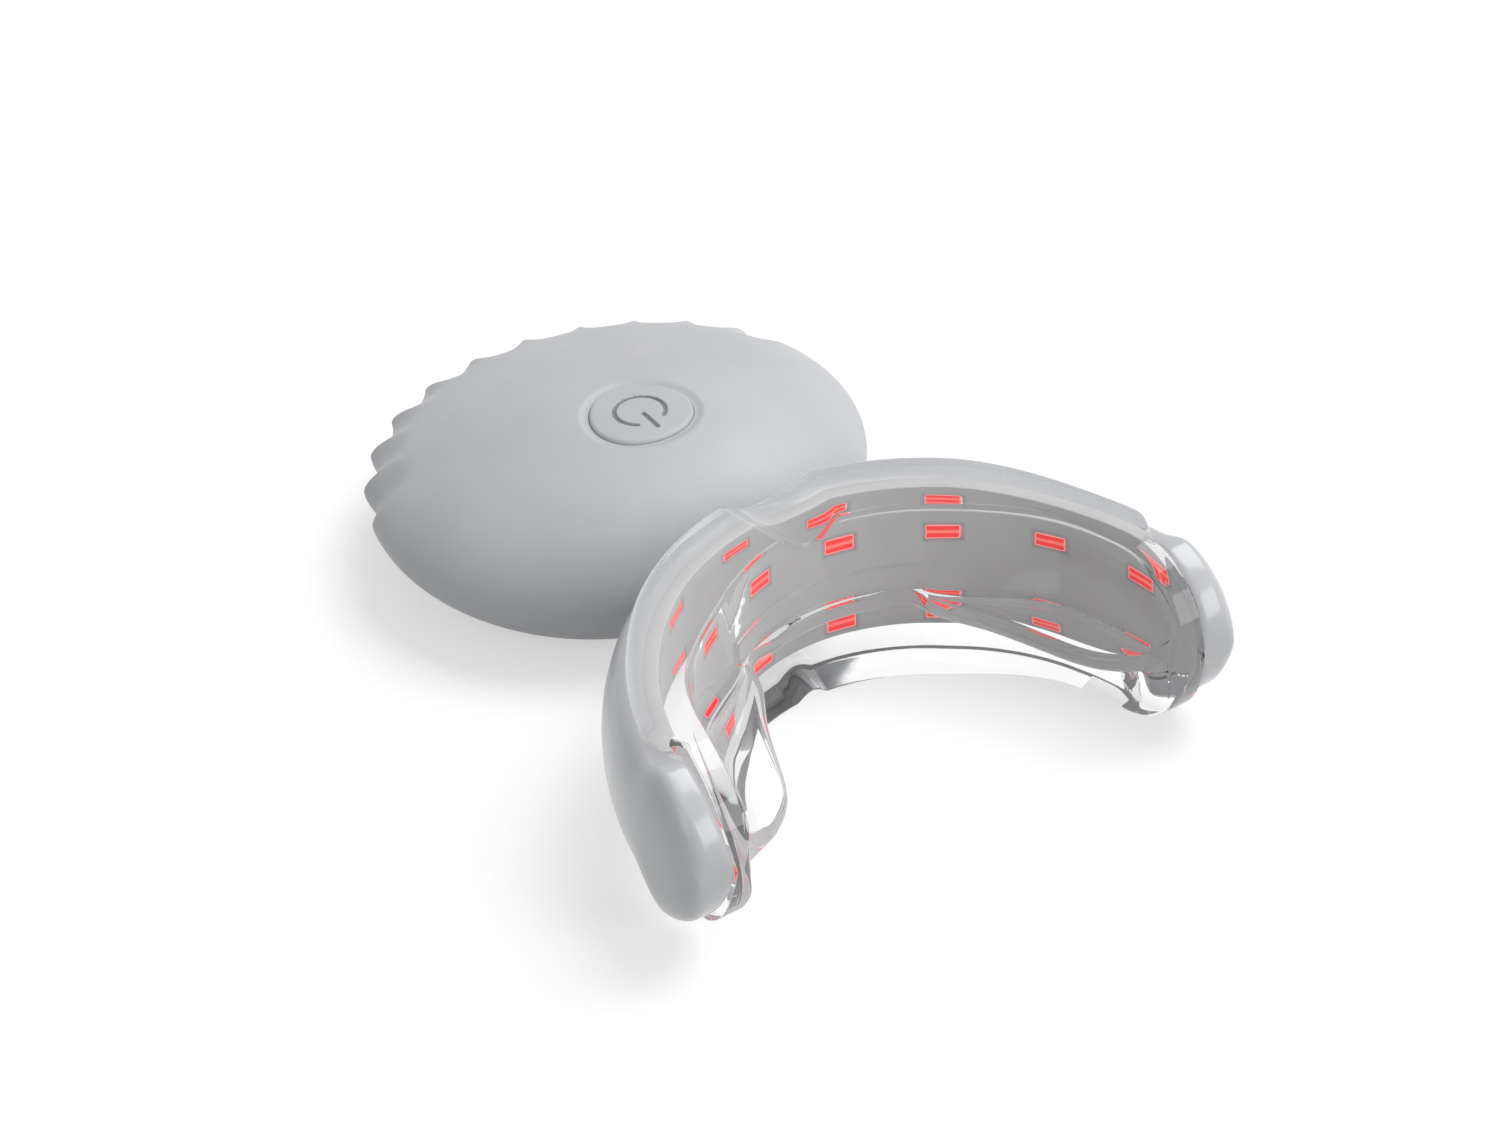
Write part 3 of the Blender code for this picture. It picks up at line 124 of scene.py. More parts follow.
FLUTES = 11
FLUTE_DEPTH = 0.0012
FLUTE_LOW_END = 0.0050
FLUTE_TOP_START_SHARE = 0.78
FLUTE_TOP_FULL_SHARE = 0.97
LEDGE_LOW = 0.0023
LEDGE_TOP = 0.0038
LEDGE_WIDTH = 0.0022
BUTTON_AHEAD = 0.0054
BUTTON_RADIUS = 0.0051
BUTTON_CORNERS = 3
BUTTON_CORNER_SHARE = 0.03
BUTTON_GAP = 0.00035
BUTTON_EDGE_ROUND = 0.00035
BUTTON_FOOT_RADIUS = 0.0024
BUTTON_FLANGE_REACH = 0.0013
BUTTON_FLANGE_THICKNESS = 0.0008
SEAL_REACH = 0.0018
SEAL_THICKNESS = 0.0008
COLLAR_WALL = 0.0026
COLLAR_DEPTH = 0.0029
STATUS_X = 0.0071
STATUS_Y = 0.0062
PIPE_RADIUS = 0.0007
PIPE_SKIN = 0.0006
NECK_HALF_WIDTH = 0.0080
NECK_HALF_HEIGHT = 0.0030
NECK_HEIGHT = 0.0092
GASKET_SIZE = 0.0009
COIL_RADIUS = 0.0083
FLAP_EDGE_SHARES = (
    (0.319, 0.313),
    (0.324, 0.413),
    (0.368, 0.481),
    (0.420, 0.552),
    (0.462, 0.628),
    (0.507, 0.722),
    (0.550, 0.811),
    (0.599, 0.874),
    (0.670, 0.924),
    (0.749, 0.952),
    (0.817, 0.947),
)

# Sizes that follow from the ones above
ARCH_DEPTH = ARCH_CURVE_DEPTH + TIP_RUN
POD_BACK = POD_HALF_LENGTH * math.cos(math.radians(FLUTE_PITCH_DEGREES / 2))
ARCH_FRONT_Y = (ARCH_DEPTH - STRIP_CROWN_OUT - POD_HALF_LENGTH - POD_BACK) / 2
POD_Y = ARCH_FRONT_Y + STRIP_CROWN_OUT + POD_HALF_LENGTH
BUTTON_Y = POD_Y - BUTTON_AHEAD
FLUTED_HALF_SPAN = FLUTE_PITCH_DEGREES * FLUTES / 2
BITE_PLANE_Z = TRAY_DROP_BACK
PANEL_FACE = SEAT_GAP
PANEL_BACK = PANEL_FACE + PANEL_THICKNESS
CASING_FACE = PANEL_BACK + SEAT_GAP
RECESS_BACK = CASING_FACE + LIGHT_BOARD_THICKNESS + SEAT_GAP

# Details finer than the frame's
TIP_EDGE_LENGTH = 0.0014
TRAY_EDGE_RADIUS = 0.0009
TRAY_RIM_RADIUS = 0.0005
TRAY_LIP_RADIUS = 0.0005
TRAY_FILLET_RADIUS = 0.0004
STEP_EDGE_RUN = 0.00003
LOBE_LIP_WIDTH = 0.0019
LOBE_LIP_RADIUS = 0.0011
LEAST_STEP = 0.00002
BARE_WALL_SHARE = 0.3
RECESS_ROOM_SHARE = 0.95
BOND_OVERLAP = 0.00006
SEAT_OVERLAP = 0.0001
MERGE_DISTANCE = 0.0000003
WINDOW_GAP = 0.00002
PANEL_EDGE_RADIUS = 0.00015
LIGHT_CORNER_RADIUS = 0.00022
LIGHT_FRAME_WIDTH = 0.00015
LIGHT_DOME = 0.00006
FRAME_GLOW_SHARE = 0.3
CROWN_EDGE_SHARE = 0.62
CAP_GROWTH = 0.00022
GROOVE_DEPTH = 0.00034
GROOVE_WIDTH = 0.0011
GROOVE_FULL_SHARE = 0.95
HAIRLINE = 0.00007
ICON_RADIUS = 0.0026
ICON_STROKE = 0.00044
ICON_GAP_DEGREES = 37.0
ICON_BAR_START = 0.0007
ICON_BAR_END = 0.0034
ICON_FLANK_SHARE = 0.125
# Softening of the painted shade in the power symbol, as a share of its stroke
ICON_SHADE_SOFT_SHARE = 0.15
COIL_TURN_GAP = 0.00001
PAD_CORNER = 0.0012
PAD_CROWN = 0.00012
PAD_CROWN_SHARE = 0.75
PAD_MIDDLE_SHARE = 0.04
RING_INSET_SHARE = 1 / 150

# Resolution
ARCH_SAMPLES = 1200
CORNER_STEPS = 5
CROWN_STEPS = 32
SECTION_SPACING = 0.00030
TIP_SECTIONS = 26
FLUTE_STEPS = 14
FRONT_STEPS = 110
SHELF_POINTS = 8
EDGE_CUTS = 3
PANEL_CORNER_STEPS = 3
BOX_CORNER_STEPS = 4
GUIDE_POINTS = 240
RINGS_TO_WAIST = 26
RINGS_TO_CROWN = 44
DISH_RINGS = 22
GROOVE_RINGS = 15
INNER_RINGS = 22
INNER_RIM_RINGS = 8
NECK_POINTS = 96
COLUMN_POINTS = 48
BUTTON_POINTS = 220
BUTTON_EDGE_RINGS = 8
BUTTON_TOP_RINGS = 92
COIL_STEPS = 72
WIRE_POINTS = 10
PAD_RINGS = 14
SEAL_POINTS = 180
SEAL_SECTION_POINTS = 16

# Directions in a section, as (reach, height)
UP = (0.0, 1.0)
DOWN = (0.0, -1.0)
OUT = (1.0, 0.0)
IN = (-1.0, 0.0)

# Looks: patches, the reach of the painted shade round the lights, the reach of the painted glow,
# and waves have their size in metres
SATIN = (0.46, 0.54)
MATT = (0.45, 0.60)
MOULD_GRAIN = 0.00018
MOULD_RELIEF = 0.000004
MOTTLE = 0.03
PANEL_MOTTLE = 0.04
COLOUR_PATCH = 0.012
GLOSS_PATCH = 0.004
DARK_PATCH = 0.001
CASING_ROUGHNESS = (0.22, 0.42)
CASING_COAT = 0.4
CASING_COAT_ROUGHNESS = 0.16
LOBE_GLOSS_START = ARCH_FRONT_Y - 0.012
LOBE_GLOSS_END = ARCH_FRONT_Y - 0.020
# Painted shade round each light on the panel: how dark it is, and how far it reaches
PAINTED_SHADE_DARKNESS = 0.42
PAINTED_SHADE_REACH = 0.0005
# Painted red glow on the shell over the status light: its strength and reach
PAINTED_STATUS_GLOW = 0.16
PAINTED_STATUS_GLOW_REACH = 0.0005
BONDED_GLOSS = 0.08
LENS_EMISSION = 0.45
LENS_GRAIN = 0.0004
LENS_ROUGHNESS = (0.15, 0.30)
FRAME_PINK = (1.0, 0.34, 0.34)
STRIPE_MIDDLE = (1.0, 0.22, 0.18)
STRIPE_EDGE = (1.0, 0.18, 0.15)
BUTTON_TONE = 0.98
# Colour of the painted shade in the pressed symbol, as a share of the button's colour
ICON_PAINTED_SHADE_TONE = 0.47
# Colour of the painted shade round the lights, as a share of the panel's colour
PAINTED_SHADE_TONE = 0.3
SILICONE_IOR = 1.41
SILICONE_PATCH = 0.006
SILICONE_HAZE_PATCH = 0.003
SILICONE_HAZE = 0.035
SILICONE_WAVE_SIZE = 0.0045
SILICONE_WAVE_DEPTH = 0.00004
SILICONE_THROUGH = (0.9, 0.9, 0.905, 1.0)
PIPE_IOR = 1.49
WIRE_COAT = 0.6
FOAM_CELLS_PER_METRE = 2600.0
FOAM_CELL_DEPTH = 0.00008
BOARD_TRACK_SCALE = 320.0
BOARD_TRACK_HEIGHT = 0.00003

# Finishes inside, as (name, colour, range of roughness, grain, relief, mottle)
CHIP_RESIN = ("chip resin", (0.02, 0.02, 0.02), (0.45, 0.6), 0.0001, 0.00001, 0.2)
FERRITE = ("ferrite", (0.03, 0.03, 0.03), (0.7, 0.9), 0.0004, 0.00003, 0.25)
POLYIMIDE = ("polyimide", (0.55, 0.24, 0.03), (0.25, 0.4), 0.0008, 0.00001, 0.12)
RED_COVER = ("red insulation", (0.55, 0.02, 0.02), (0.35, 0.5), 0.0004, 0.00001, 0.1)
BLACK_COVER = ("black insulation", (0.015, 0.015, 0.015), (0.35, 0.5), 0.0004, 0.00001, 0.03)
WHITE_PLASTIC = ("plunger plastic", (0.72, 0.72, 0.70), (0.4, 0.5), 0.0002, 0.00001, 0.05)
DARK_RUBBER = ("seal rubber finish", (0.02, 0.02, 0.022), (0.6, 0.8), 0.0003, 0.00002, 0.15)
DARK_FOAM = ("closed-cell foam", (0.035, 0.035, 0.038), (0.8, 0.95), 0.0003, 0.00006, 0.2)
SOLDER_MASK = ("circuit board", (0.02, 0.13, 0.05), (0.25, 0.4), 0.0005, 0.000004, 0.1)
SCREW_STEEL = ("screw finish", (0.55, 0.55, 0.57), (0.22, 0.35), 0.0002, 0.00001, 0.08)
POUCH_FOIL = ("battery pouch", (0.62, 0.63, 0.64), (0.3, 0.45), 0.0012, 0.00008, 0.08)
COPPER_WIRE = ("enamelled wire", (0.62, 0.27, 0.12), (0.2, 0.35), 0.0006, 0.00001, 0.12)
CLEAR_PIPE = ("clear pipe", (0.9, 0.9, 0.9), (0.05, 0.12), MOULD_GRAIN, MOULD_RELIEF, MOTTLE)

# Camera and stage
CAMERA_AZIMUTH = -32.005
CAMERA_ELEVATION = 37.095
CAMERA_ROLL = -2.391
CAMERA_DISTANCE = 0.444872
CAMERA_RIGHT = 0.001087
CAMERA_UP = -0.001112
CAMERA_LENS = 108.0
CAMERA_SENSOR = 36.0
CAMERA_NEAREST = 0.01
FLOOR_SIZE = 6.0
FLOOR_PATCH = 0.05
FLOOR_TONES = ((0.3, (0.62, 0.62, 0.62)), (0.7, (0.64, 0.64, 0.64)))
FLOOR_LIFT = 0.5
FLOOR_RETURN = (0.5, 0.5, 0.5, 1.0)
SKY_STRENGTH = 0.38
SKY_COLOUR = (0.97, 0.985, 1.0, 1.0)
WHITE = (1.0, 1.0, 1.0, 1.0)
CLEAR_BOUNCES = 24

# Soft lamps, as (name, place, size, power)
LAMPS = (
    ("key softbox", (0.45, 0.02, 0.72), 0.60, 4.6),
    ("right softbox", (0.42, -0.75, 0.30), 0.45, 2.3),
    ("left softbox", (-0.65, -0.45, 0.45), 0.50, 0.8),
)


def colour_setting(name, description, default):
    """A colour that a user may change."""
    return bpy.props.FloatVectorProperty(
        name=name,
        description=description,
        subtype="COLOR",
        size=3,
        min=0.0,
        max=1.0,
        default=default,
    )


class DeviceColours(bpy.types.PropertyGroup):
    """Colours that a user may change."""

    shell_colour: colour_setting(
        "Shell colour", "Colour of the pod and of the strip's casing", (0.52, 0.53, 0.545)
    )
    panel_colour: colour_setting(
        "Panel colour", "Colour of the panel round the lights", (0.61, 0.60, 0.60)
    )
    light_colour: colour_setting(
        "Light colour", "Colour that the lights give", (0.95, 0.045, 0.048)
    )
    light_strength: bpy.props.FloatProperty(
        name="Light strength",
        description="Brightness of the lights, where 1 shows their own colour",
        min=0.0,
        soft_max=10.0,
        default=1.0,
    )
    silicone_colour: colour_setting(
        "Silicone tint", "Tint of the clear mouth tray", (0.985, 0.987, 0.99)
    )


class DeviceSizes(bpy.types.PropertyGroup):
    """Sizes that a user may change."""

    icon_depth: bpy.props.FloatProperty(
        name="Icon depth",
        description="How deep the power symbol is pressed into the button",
        subtype="DISTANCE",
        unit="LENGTH",
        min=0.0,
        max=0.0004,
        precision=5,
        default=0.00022,
    )
    coil_wire: bpy.props.FloatProperty(
        name="Coil wire",
        description="Thickness of the charging coil's wire",
        subtype="DISTANCE",
        unit="LENGTH",
        min=0.0002,
        max=0.0005,
        precision=5,
        default=0.00048,
    )
    coil_turns: bpy.props.IntProperty(
        name="Coil turns",
        description="Turns in each of the charging coil's two layers",
        min=2,
        max=8,
        default=8,
    )


def blend_share(value, start, end):
    """A smooth rise from 0 at the start to 1 at the end."""
    share = np.clip((np.asarray(value) - start) / (end - start), 0.0, 1.0)
    return share * share * (3 - 2 * share)


def mixed(first, last, share):
    """The value that lies this share of the way from first to last."""
    return first + (last - first) * share


# Arch: places are given by arc length along the panel's seat and by reach outwards from it


def trace_arch():
    """Right half of the panel's seat: arc lengths, places, directions and flange reaches."""
    angles = np.linspace(0, math.pi / 2, ARCH_SAMPLES)
    share_x = np.sin(angles) ** (2 / ARCH_CURVE_POWER)
    share_y = np.cos(angles) ** (2 / ARCH_CURVE_POWER)
    outer = np.stack([ARCH_HALF_WIDTH * share_x, ARCH_CURVE_DEPTH * (share_y - 1)], axis=1)
    normal_x = share_x ** (ARCH_CURVE_POWER - 1) / ARCH_HALF_WIDTH
    normal_y = share_y ** (ARCH_CURVE_POWER - 1) / ARCH_CURVE_DEPTH
    normals = np.stack([normal_x, normal_y], axis=1)
    normals /= np.linalg.norm(normals, axis=1)[:, None]
    outer = np.vstack([outer, outer[-1] + [0, -TIP_RUN]])
    normals = np.vstack([normals, [1, 0]])
    reaches = mixed(FLANGE_REACH_SIDE, FLANGE_REACH_FRONT, normals[:, 1] ** 2)
    seat = outer - reaches[:, None] * normals
    steps = np.linalg.norm(np.diff(seat, axis=0), axis=1)
    return np.concatenate([[0], np.cumsum(steps)]), seat, normals, reaches


ARCS, SEATS, NORMALS, REACHES = trace_arch()
HALF_ARC = float(ARCS[-1])


def outer_reach(arcs):
    """Reach of the arch's outer face at each arc length."""
    return np.interp(np.abs(arcs), ARCS, REACHES)


def seat_at(arcs):
    """Places (x, y) of the panel's seat on the right half, and the ways outwards from them."""
    where = np.abs(arcs)
    places = np.stack([np.interp(where, ARCS, SEATS[:, i]) for i in (0, 1)], axis=-1)
    ways = np.stack([np.interp(where, ARCS, NORMALS[:, i]) for i in (0, 1)], axis=-1)
    return places, ways


def stand_on_arch(arcs, reaches, heights):
    """Places (section, point, xyz) of outlines given by reach and height above the bite plane."""
    side = np.where(arcs < 0, -1.0, 1.0)[:, None]
    seats, ways = seat_at(arcs)
    x = side * (seats[:, :1] + reaches * ways[:, :1])
    y = ARCH_FRONT_Y + seats[:, 1:] + reaches * ways[:, 1:]
    return np.stack([x, y, BITE_PLANE_Z + heights], axis=2)


def measure_arch(places):
    """Arc length of places near the seat, which is negative on the left."""
    flat = np.stack([np.abs(places[:, 0]), places[:, 1] - ARCH_FRONT_Y], axis=1)
    nearest = np.argmin(np.linalg.norm(flat[:, None] - SEATS[None], axis=2), axis=1)
    along = np.stack([NORMALS[nearest, 1], -NORMALS[nearest, 0]], axis=1)
    arcs = ARCS[nearest] + ((flat - SEATS[nearest]) * along).sum(axis=1)
    return np.where(places[:, 0] < 0, -arcs, arcs)


def turn_at(arc):
    """The turn about +Z that lays +X along the arch and +Y outwards at this arc length."""
    angle = math.atan2(*seat_at(arc)[1])
    return -angle if arc > 0 else angle


def arch_arcs(end=HALF_ARC, extra=()):
    """Arc lengths from tip to tip, even along the arch and closer together round the tips."""
    straight = end - TIP_ROUND
    count = round(straight / SECTION_SPACING)
    along = np.linspace(0, straight, count, False)
    tip = straight + TIP_ROUND * np.sin(np.linspace(0, math.pi / 2, TIP_SECTIONS))
    right = np.unique(np.concatenate([along, tip, np.asarray(extra, float)]))
    right = right[right > 0]
    return np.concatenate([-right[::-1], [0.0], right])


def tip_share(arcs, end=HALF_ARC):
    """How much of its height the arch keeps: all of it, but for the rounded tips."""
    into_tip = np.clip((np.abs(arcs) - (end - TIP_ROUND)) / TIP_ROUND, 0.0, 1.0)
    return np.sqrt(1 - into_tip**2)


def notch_share(arcs, half_width):
    """Depth of a soft notch on the centre line."""
    share = np.minimum(np.abs(arcs) / half_width, 1.0)
    return (1 - share * share) ** NOTCH_CURVE_POWER


def strip_middle_and_half(arcs):
    """Middle and half height of the light strip, which grows into a lobe at each end."""
    lobe = blend_share(np.abs(arcs), LOBE_START, LOBE_FULL)
    return mixed(STRIP_RISE, LOBE_RISE, lobe), mixed(STRIP_HALF_HEIGHT, LOBE_HALF_HEIGHT, lobe)


def panel_half_height(arcs):
    """Half height of the panel, which the casing's lip frames in the lobes."""
    lobe = blend_share(np.abs(arcs), LOBE_START, LOBE_FULL)
    half = strip_middle_and_half(arcs)[1] - lobe * (SEAT_GAP + LOBE_LIP_WIDTH)
    return half * tip_share(arcs, HALF_ARC - LOBE_LIP_WIDTH)


# Meshes


def face_outwards(mesh):
    """Turn a closed mesh the right way round."""
    form = bmesh.new()
    form.from_mesh(mesh)
    if form.calc_volume(signed=True) < 0:
        bmesh.ops.reverse_faces(form, faces=form.faces)
        form.to_mesh(mesh)
    form.free()


def weight_normals(mesh):
    """Keep broad faces flat beside small roundings: point normals weighted by face area."""
    count = len(mesh.polygons)
    faces = np.zeros(count * 3)
    areas = np.zeros(count)
    corners = np.zeros(count, dtype=int)
    points = np.zeros(len(mesh.loops), dtype=int)
    mesh.polygons.foreach_get("normal", faces)
    mesh.polygons.foreach_get("area", areas)
    mesh.polygons.foreach_get("loop_total", corners)
    mesh.loops.foreach_get("vertex_index", points)
    weighted = np.repeat(faces.reshape(-1, 3) * areas[:, None], corners, axis=0)
    normals = np.zeros((len(mesh.vertices), 3))
    np.add.at(normals, points, weighted)
    lengths = np.linalg.norm(normals, axis=1)
    normals /= np.maximum(lengths, np.finfo(float).tiny)[:, None]
    mesh.normals_split_custom_set_from_vertices(normals.tolist())


def add_object(name, mesh):
    """Put a mesh in the scene with smooth shading."""
    piece = bpy.data.objects.new(name, mesh)
    bpy.context.scene.collection.objects.link(piece)
    mesh.shade_smooth()
    return piece


def skin(name, rings, ends="caps"):
    """A closed skin over rings (ring, point, xyz): caps, a pole, wrapped round or pinched."""
    count, points = rings.shape[:2]
    index = np.arange(count * points).reshape(count, points)
    low = index if ends == "wrap" else index[:-1]
    high = np.roll(index, -1, axis=0) if ends == "wrap" else index[1:]
    quads = np.stack([low, np.roll(low, -1, 1), np.roll(high, -1, 1), high], axis=2)
    faces = quads.reshape(-1, 4).tolist()
    places = rings.reshape(-1, 3).tolist()
    if ends in ("caps", "pole"):
        faces.append(index[0][::-1].tolist())
    if ends == "caps":
        faces.append(index[-1].tolist())
    if ends == "pole":
        places.append(rings[-1].mean(axis=0).tolist())
        last = index[-1].tolist()
        faces += [[a, b, count * points] for a, b in zip(last, last[1:] + last[:1])]
    mesh = bpy.data.meshes.new(name)
    mesh.from_pydata(places, [], faces)
    close_pinches(mesh)
    face_outwards(mesh)
    return add_object(name, mesh)


def close_pinches(mesh):
    """Merge the points that meet where a skin closes on itself."""
    form = bmesh.new()
    form.from_mesh(mesh)
    bmesh.ops.remove_doubles(form, verts=form.verts, dist=MERGE_DISTANCE)
    form.to_mesh(mesh)
    form.free()


def rounded_sections(corners, steps=CORNER_STEPS):
    """Reaches and heights (section, point) of outlines with rounded right-angled corners.

    Each corner is (reach, height, way back, way on, radius), where the ways are the unit
    directions to the corners before and after it.
    """
    reaches = np.stack([np.broadcast_to(corner[0], corners[0][0].shape) for corner in corners])
    heights = np.stack([np.broadcast_to(corner[1], corners[0][0].shape) for corner in corners])
    sides = np.hypot(
        np.roll(reaches, -1, axis=0) - reaches, np.roll(heights, -1, axis=0) - heights
    )
    room = np.minimum(sides, np.roll(sides, 1, axis=0)) / 2
    angles = np.linspace(0, math.pi / 2, steps + 1)
    all_reaches = []
    all_heights = []
    for i, (_, _, back, on, radius) in enumerate(corners):
        fillet = np.minimum(radius, room[i])[:, None]
        across = 1 - np.cos(angles)[None, :]
        along = 1 - np.sin(angles)[None, :]
        all_reaches.append(reaches[i][:, None] + fillet * (along * back[0] + across * on[0]))
        all_heights.append(heights[i][:, None] + fillet * (along * back[1] + across * on[1]))
    return np.concatenate(all_reaches, axis=1), np.concatenate(all_heights, axis=1)


def mark_points(mesh, name, values):
    """Store a number for each point, for the materials."""
    layer = mesh.attributes.new(name, "FLOAT", "POINT")
    layer.data.foreach_set("value", values)


def applied(piece, name):
    """A plain mesh object made of this one with its modifiers, which takes its place."""
    bpy.context.view_layer.update()
    graph = bpy.context.evaluated_depsgraph_get()
    mesh = bpy.data.meshes.new_from_object(piece.evaluated_get(graph))
    bpy.data.objects.remove(piece)
    mesh.name = name
    finished = bpy.data.objects.new(name, mesh)
    bpy.context.scene.collection.objects.link(finished)
    return finished


def cut_away(piece, cutter):
    """Cut the cutter's form out of the piece, and drop the cutter."""
    step = piece.modifiers.new("cut", "BOOLEAN")
    step.operation = "DIFFERENCE"
    step.solver = "EXACT"
    step.object = cutter
    finished = applied(piece, piece.name)
    bpy.data.objects.remove(cutter)
    return finished


def paint(piece, material):
    """Give the whole piece one material."""
    piece.data.materials.clear()
    piece.data.materials.append(material)


# Node trees


def feed(tree, socket, value):
    """Link an output to this input, or give the input a plain value."""
    if isinstance(value, bpy.types.NodeSocket):
        tree.links.new(value, socket)
    else:
        socket.default_value = value


def add_node(tree, kind, **values):
    """A node with its properties, and with its inputs fed by their socket's name."""
    node = tree.nodes.new(kind)
    for key, value in values.items():
        if hasattr(node, key):
            setattr(node, key, value)
        else:
            feed(tree, node.inputs[key.replace("_", " ")], value)
    return node


def math_node(tree, operation, *values):
    """A Math node's value from sockets or plain numbers."""
    node = add_node(tree, "ShaderNodeMath", operation=operation)
    for socket, value in zip(node.inputs, values):
        feed(tree, socket, value)
    return node.outputs["Value"]


def new_tree(name, inputs):
    """A Geometry Nodes tree with inputs of these (name, socket type), and their outputs in it."""
    tree = bpy.data.node_groups.new(name, "GeometryNodeTree")
    tree.interface.new_socket("Geometry", in_out="INPUT", socket_type="NodeSocketGeometry")
    for label, kind in inputs:
        tree.interface.new_socket(label, in_out="INPUT", socket_type=kind)
    tree.interface.new_socket("Geometry", in_out="OUTPUT", socket_type="NodeSocketGeometry")
    return tree, add_node(tree, "NodeGroupInput").outputs


def finish_tree(tree, given, geometry):
    """End a tree by realising its instances and setting the given material."""
    real = add_node(tree, "GeometryNodeRealizeInstances", Geometry=geometry).outputs["Geometry"]
    coat = add_node(tree, "GeometryNodeSetMaterial", Geometry=real, Material=given["Material"])
    add_node(tree, "NodeGroupOutput", Geometry=coat.outputs["Geometry"])


def grown(guide, name, tree, values):
    """The plain mesh that a tree makes on a guide, which it takes the place of."""
    modifier = guide.modifiers.new("grow", "NODES")
    modifier.node_group = tree
    for item in tree.interface.items_tree:
        if item.item_type == "SOCKET" and item.in_out == "INPUT" and item.name in values:
            modifier[item.identifier] = values[item.name]
    return applied(guide, name)


# Clear tray


def flap_outline():
    """Inner edge of the bite plate's right half in plan, from the middle to its back end."""
    shelf = TRAY_WALL_FRONT + FRONT_SHELF_REACH
    arcs = np.linspace(0, FRONT_SHELF_HALF_LENGTH, SHELF_POINTS)
    reaches = np.full((SHELF_POINTS, 1), -shelf)
    front = stand_on_arch(arcs, reaches, np.zeros((SHELF_POINTS, 1)))[:, 0, :2]
    shares = np.array(FLAP_EDGE_SHARES)
    flap = np.stack(
        [shares[:, 0] * ARCH_HALF_WIDTH, ARCH_FRONT_Y - shares[:, 1] * ARCH_DEPTH], axis=1
    )
    end_arc = np.array([BITE_PLATE_BACK_ARC])
    end = stand_on_arch(end_arc, np.full((1, 1), -TRAY_WALL_BACK), np.zeros((1, 1)))[:, 0, :2]
    return corner_cut(np.vstack([front, flap, end]), EDGE_CUTS)


def corner_cut(line, rounds):
    """An open line with its corners cut, each round at a quarter of every side."""
    for _ in range(rounds):
        first = mixed(line[:-1], line[1:], 0.25)
        second = mixed(line[:-1], line[1:], 0.75)
        middle = np.stack([first, second], axis=1).reshape(-1, 2)
        line = np.vstack([line[:1], middle, line[-1:]])
    return line


def plate_reaches(arcs, walls):
    """How far in from the seat the bite plate's edge lies at each arc length."""
    line = flap_outline()
    starts = line[:-1]
    spans = line[1:] - starts
    seats, ways = seat_at(arcs)
    seats = seats + [0, ARCH_FRONT_Y]
    found = []
    for arc, wall, seat, inward in zip(np.abs(arcs), walls, seats, -ways):
        cross = inward[0] * spans[:, 1] - inward[1] * spans[:, 0]
        away = starts - seat
        distance = (away[:, 0] * spans[:, 1] - away[:, 1] * spans[:, 0]) / cross
        share = (away[:, 0] * inward[1] - away[:, 1] * inward[0]) / cross
        hits = distance[(share >= 0) & (share <= 1) & (distance > wall)]
        found.append(hits.min() if len(hits) and arc < BITE_PLATE_BACK_ARC else wall)
    return np.array(found)


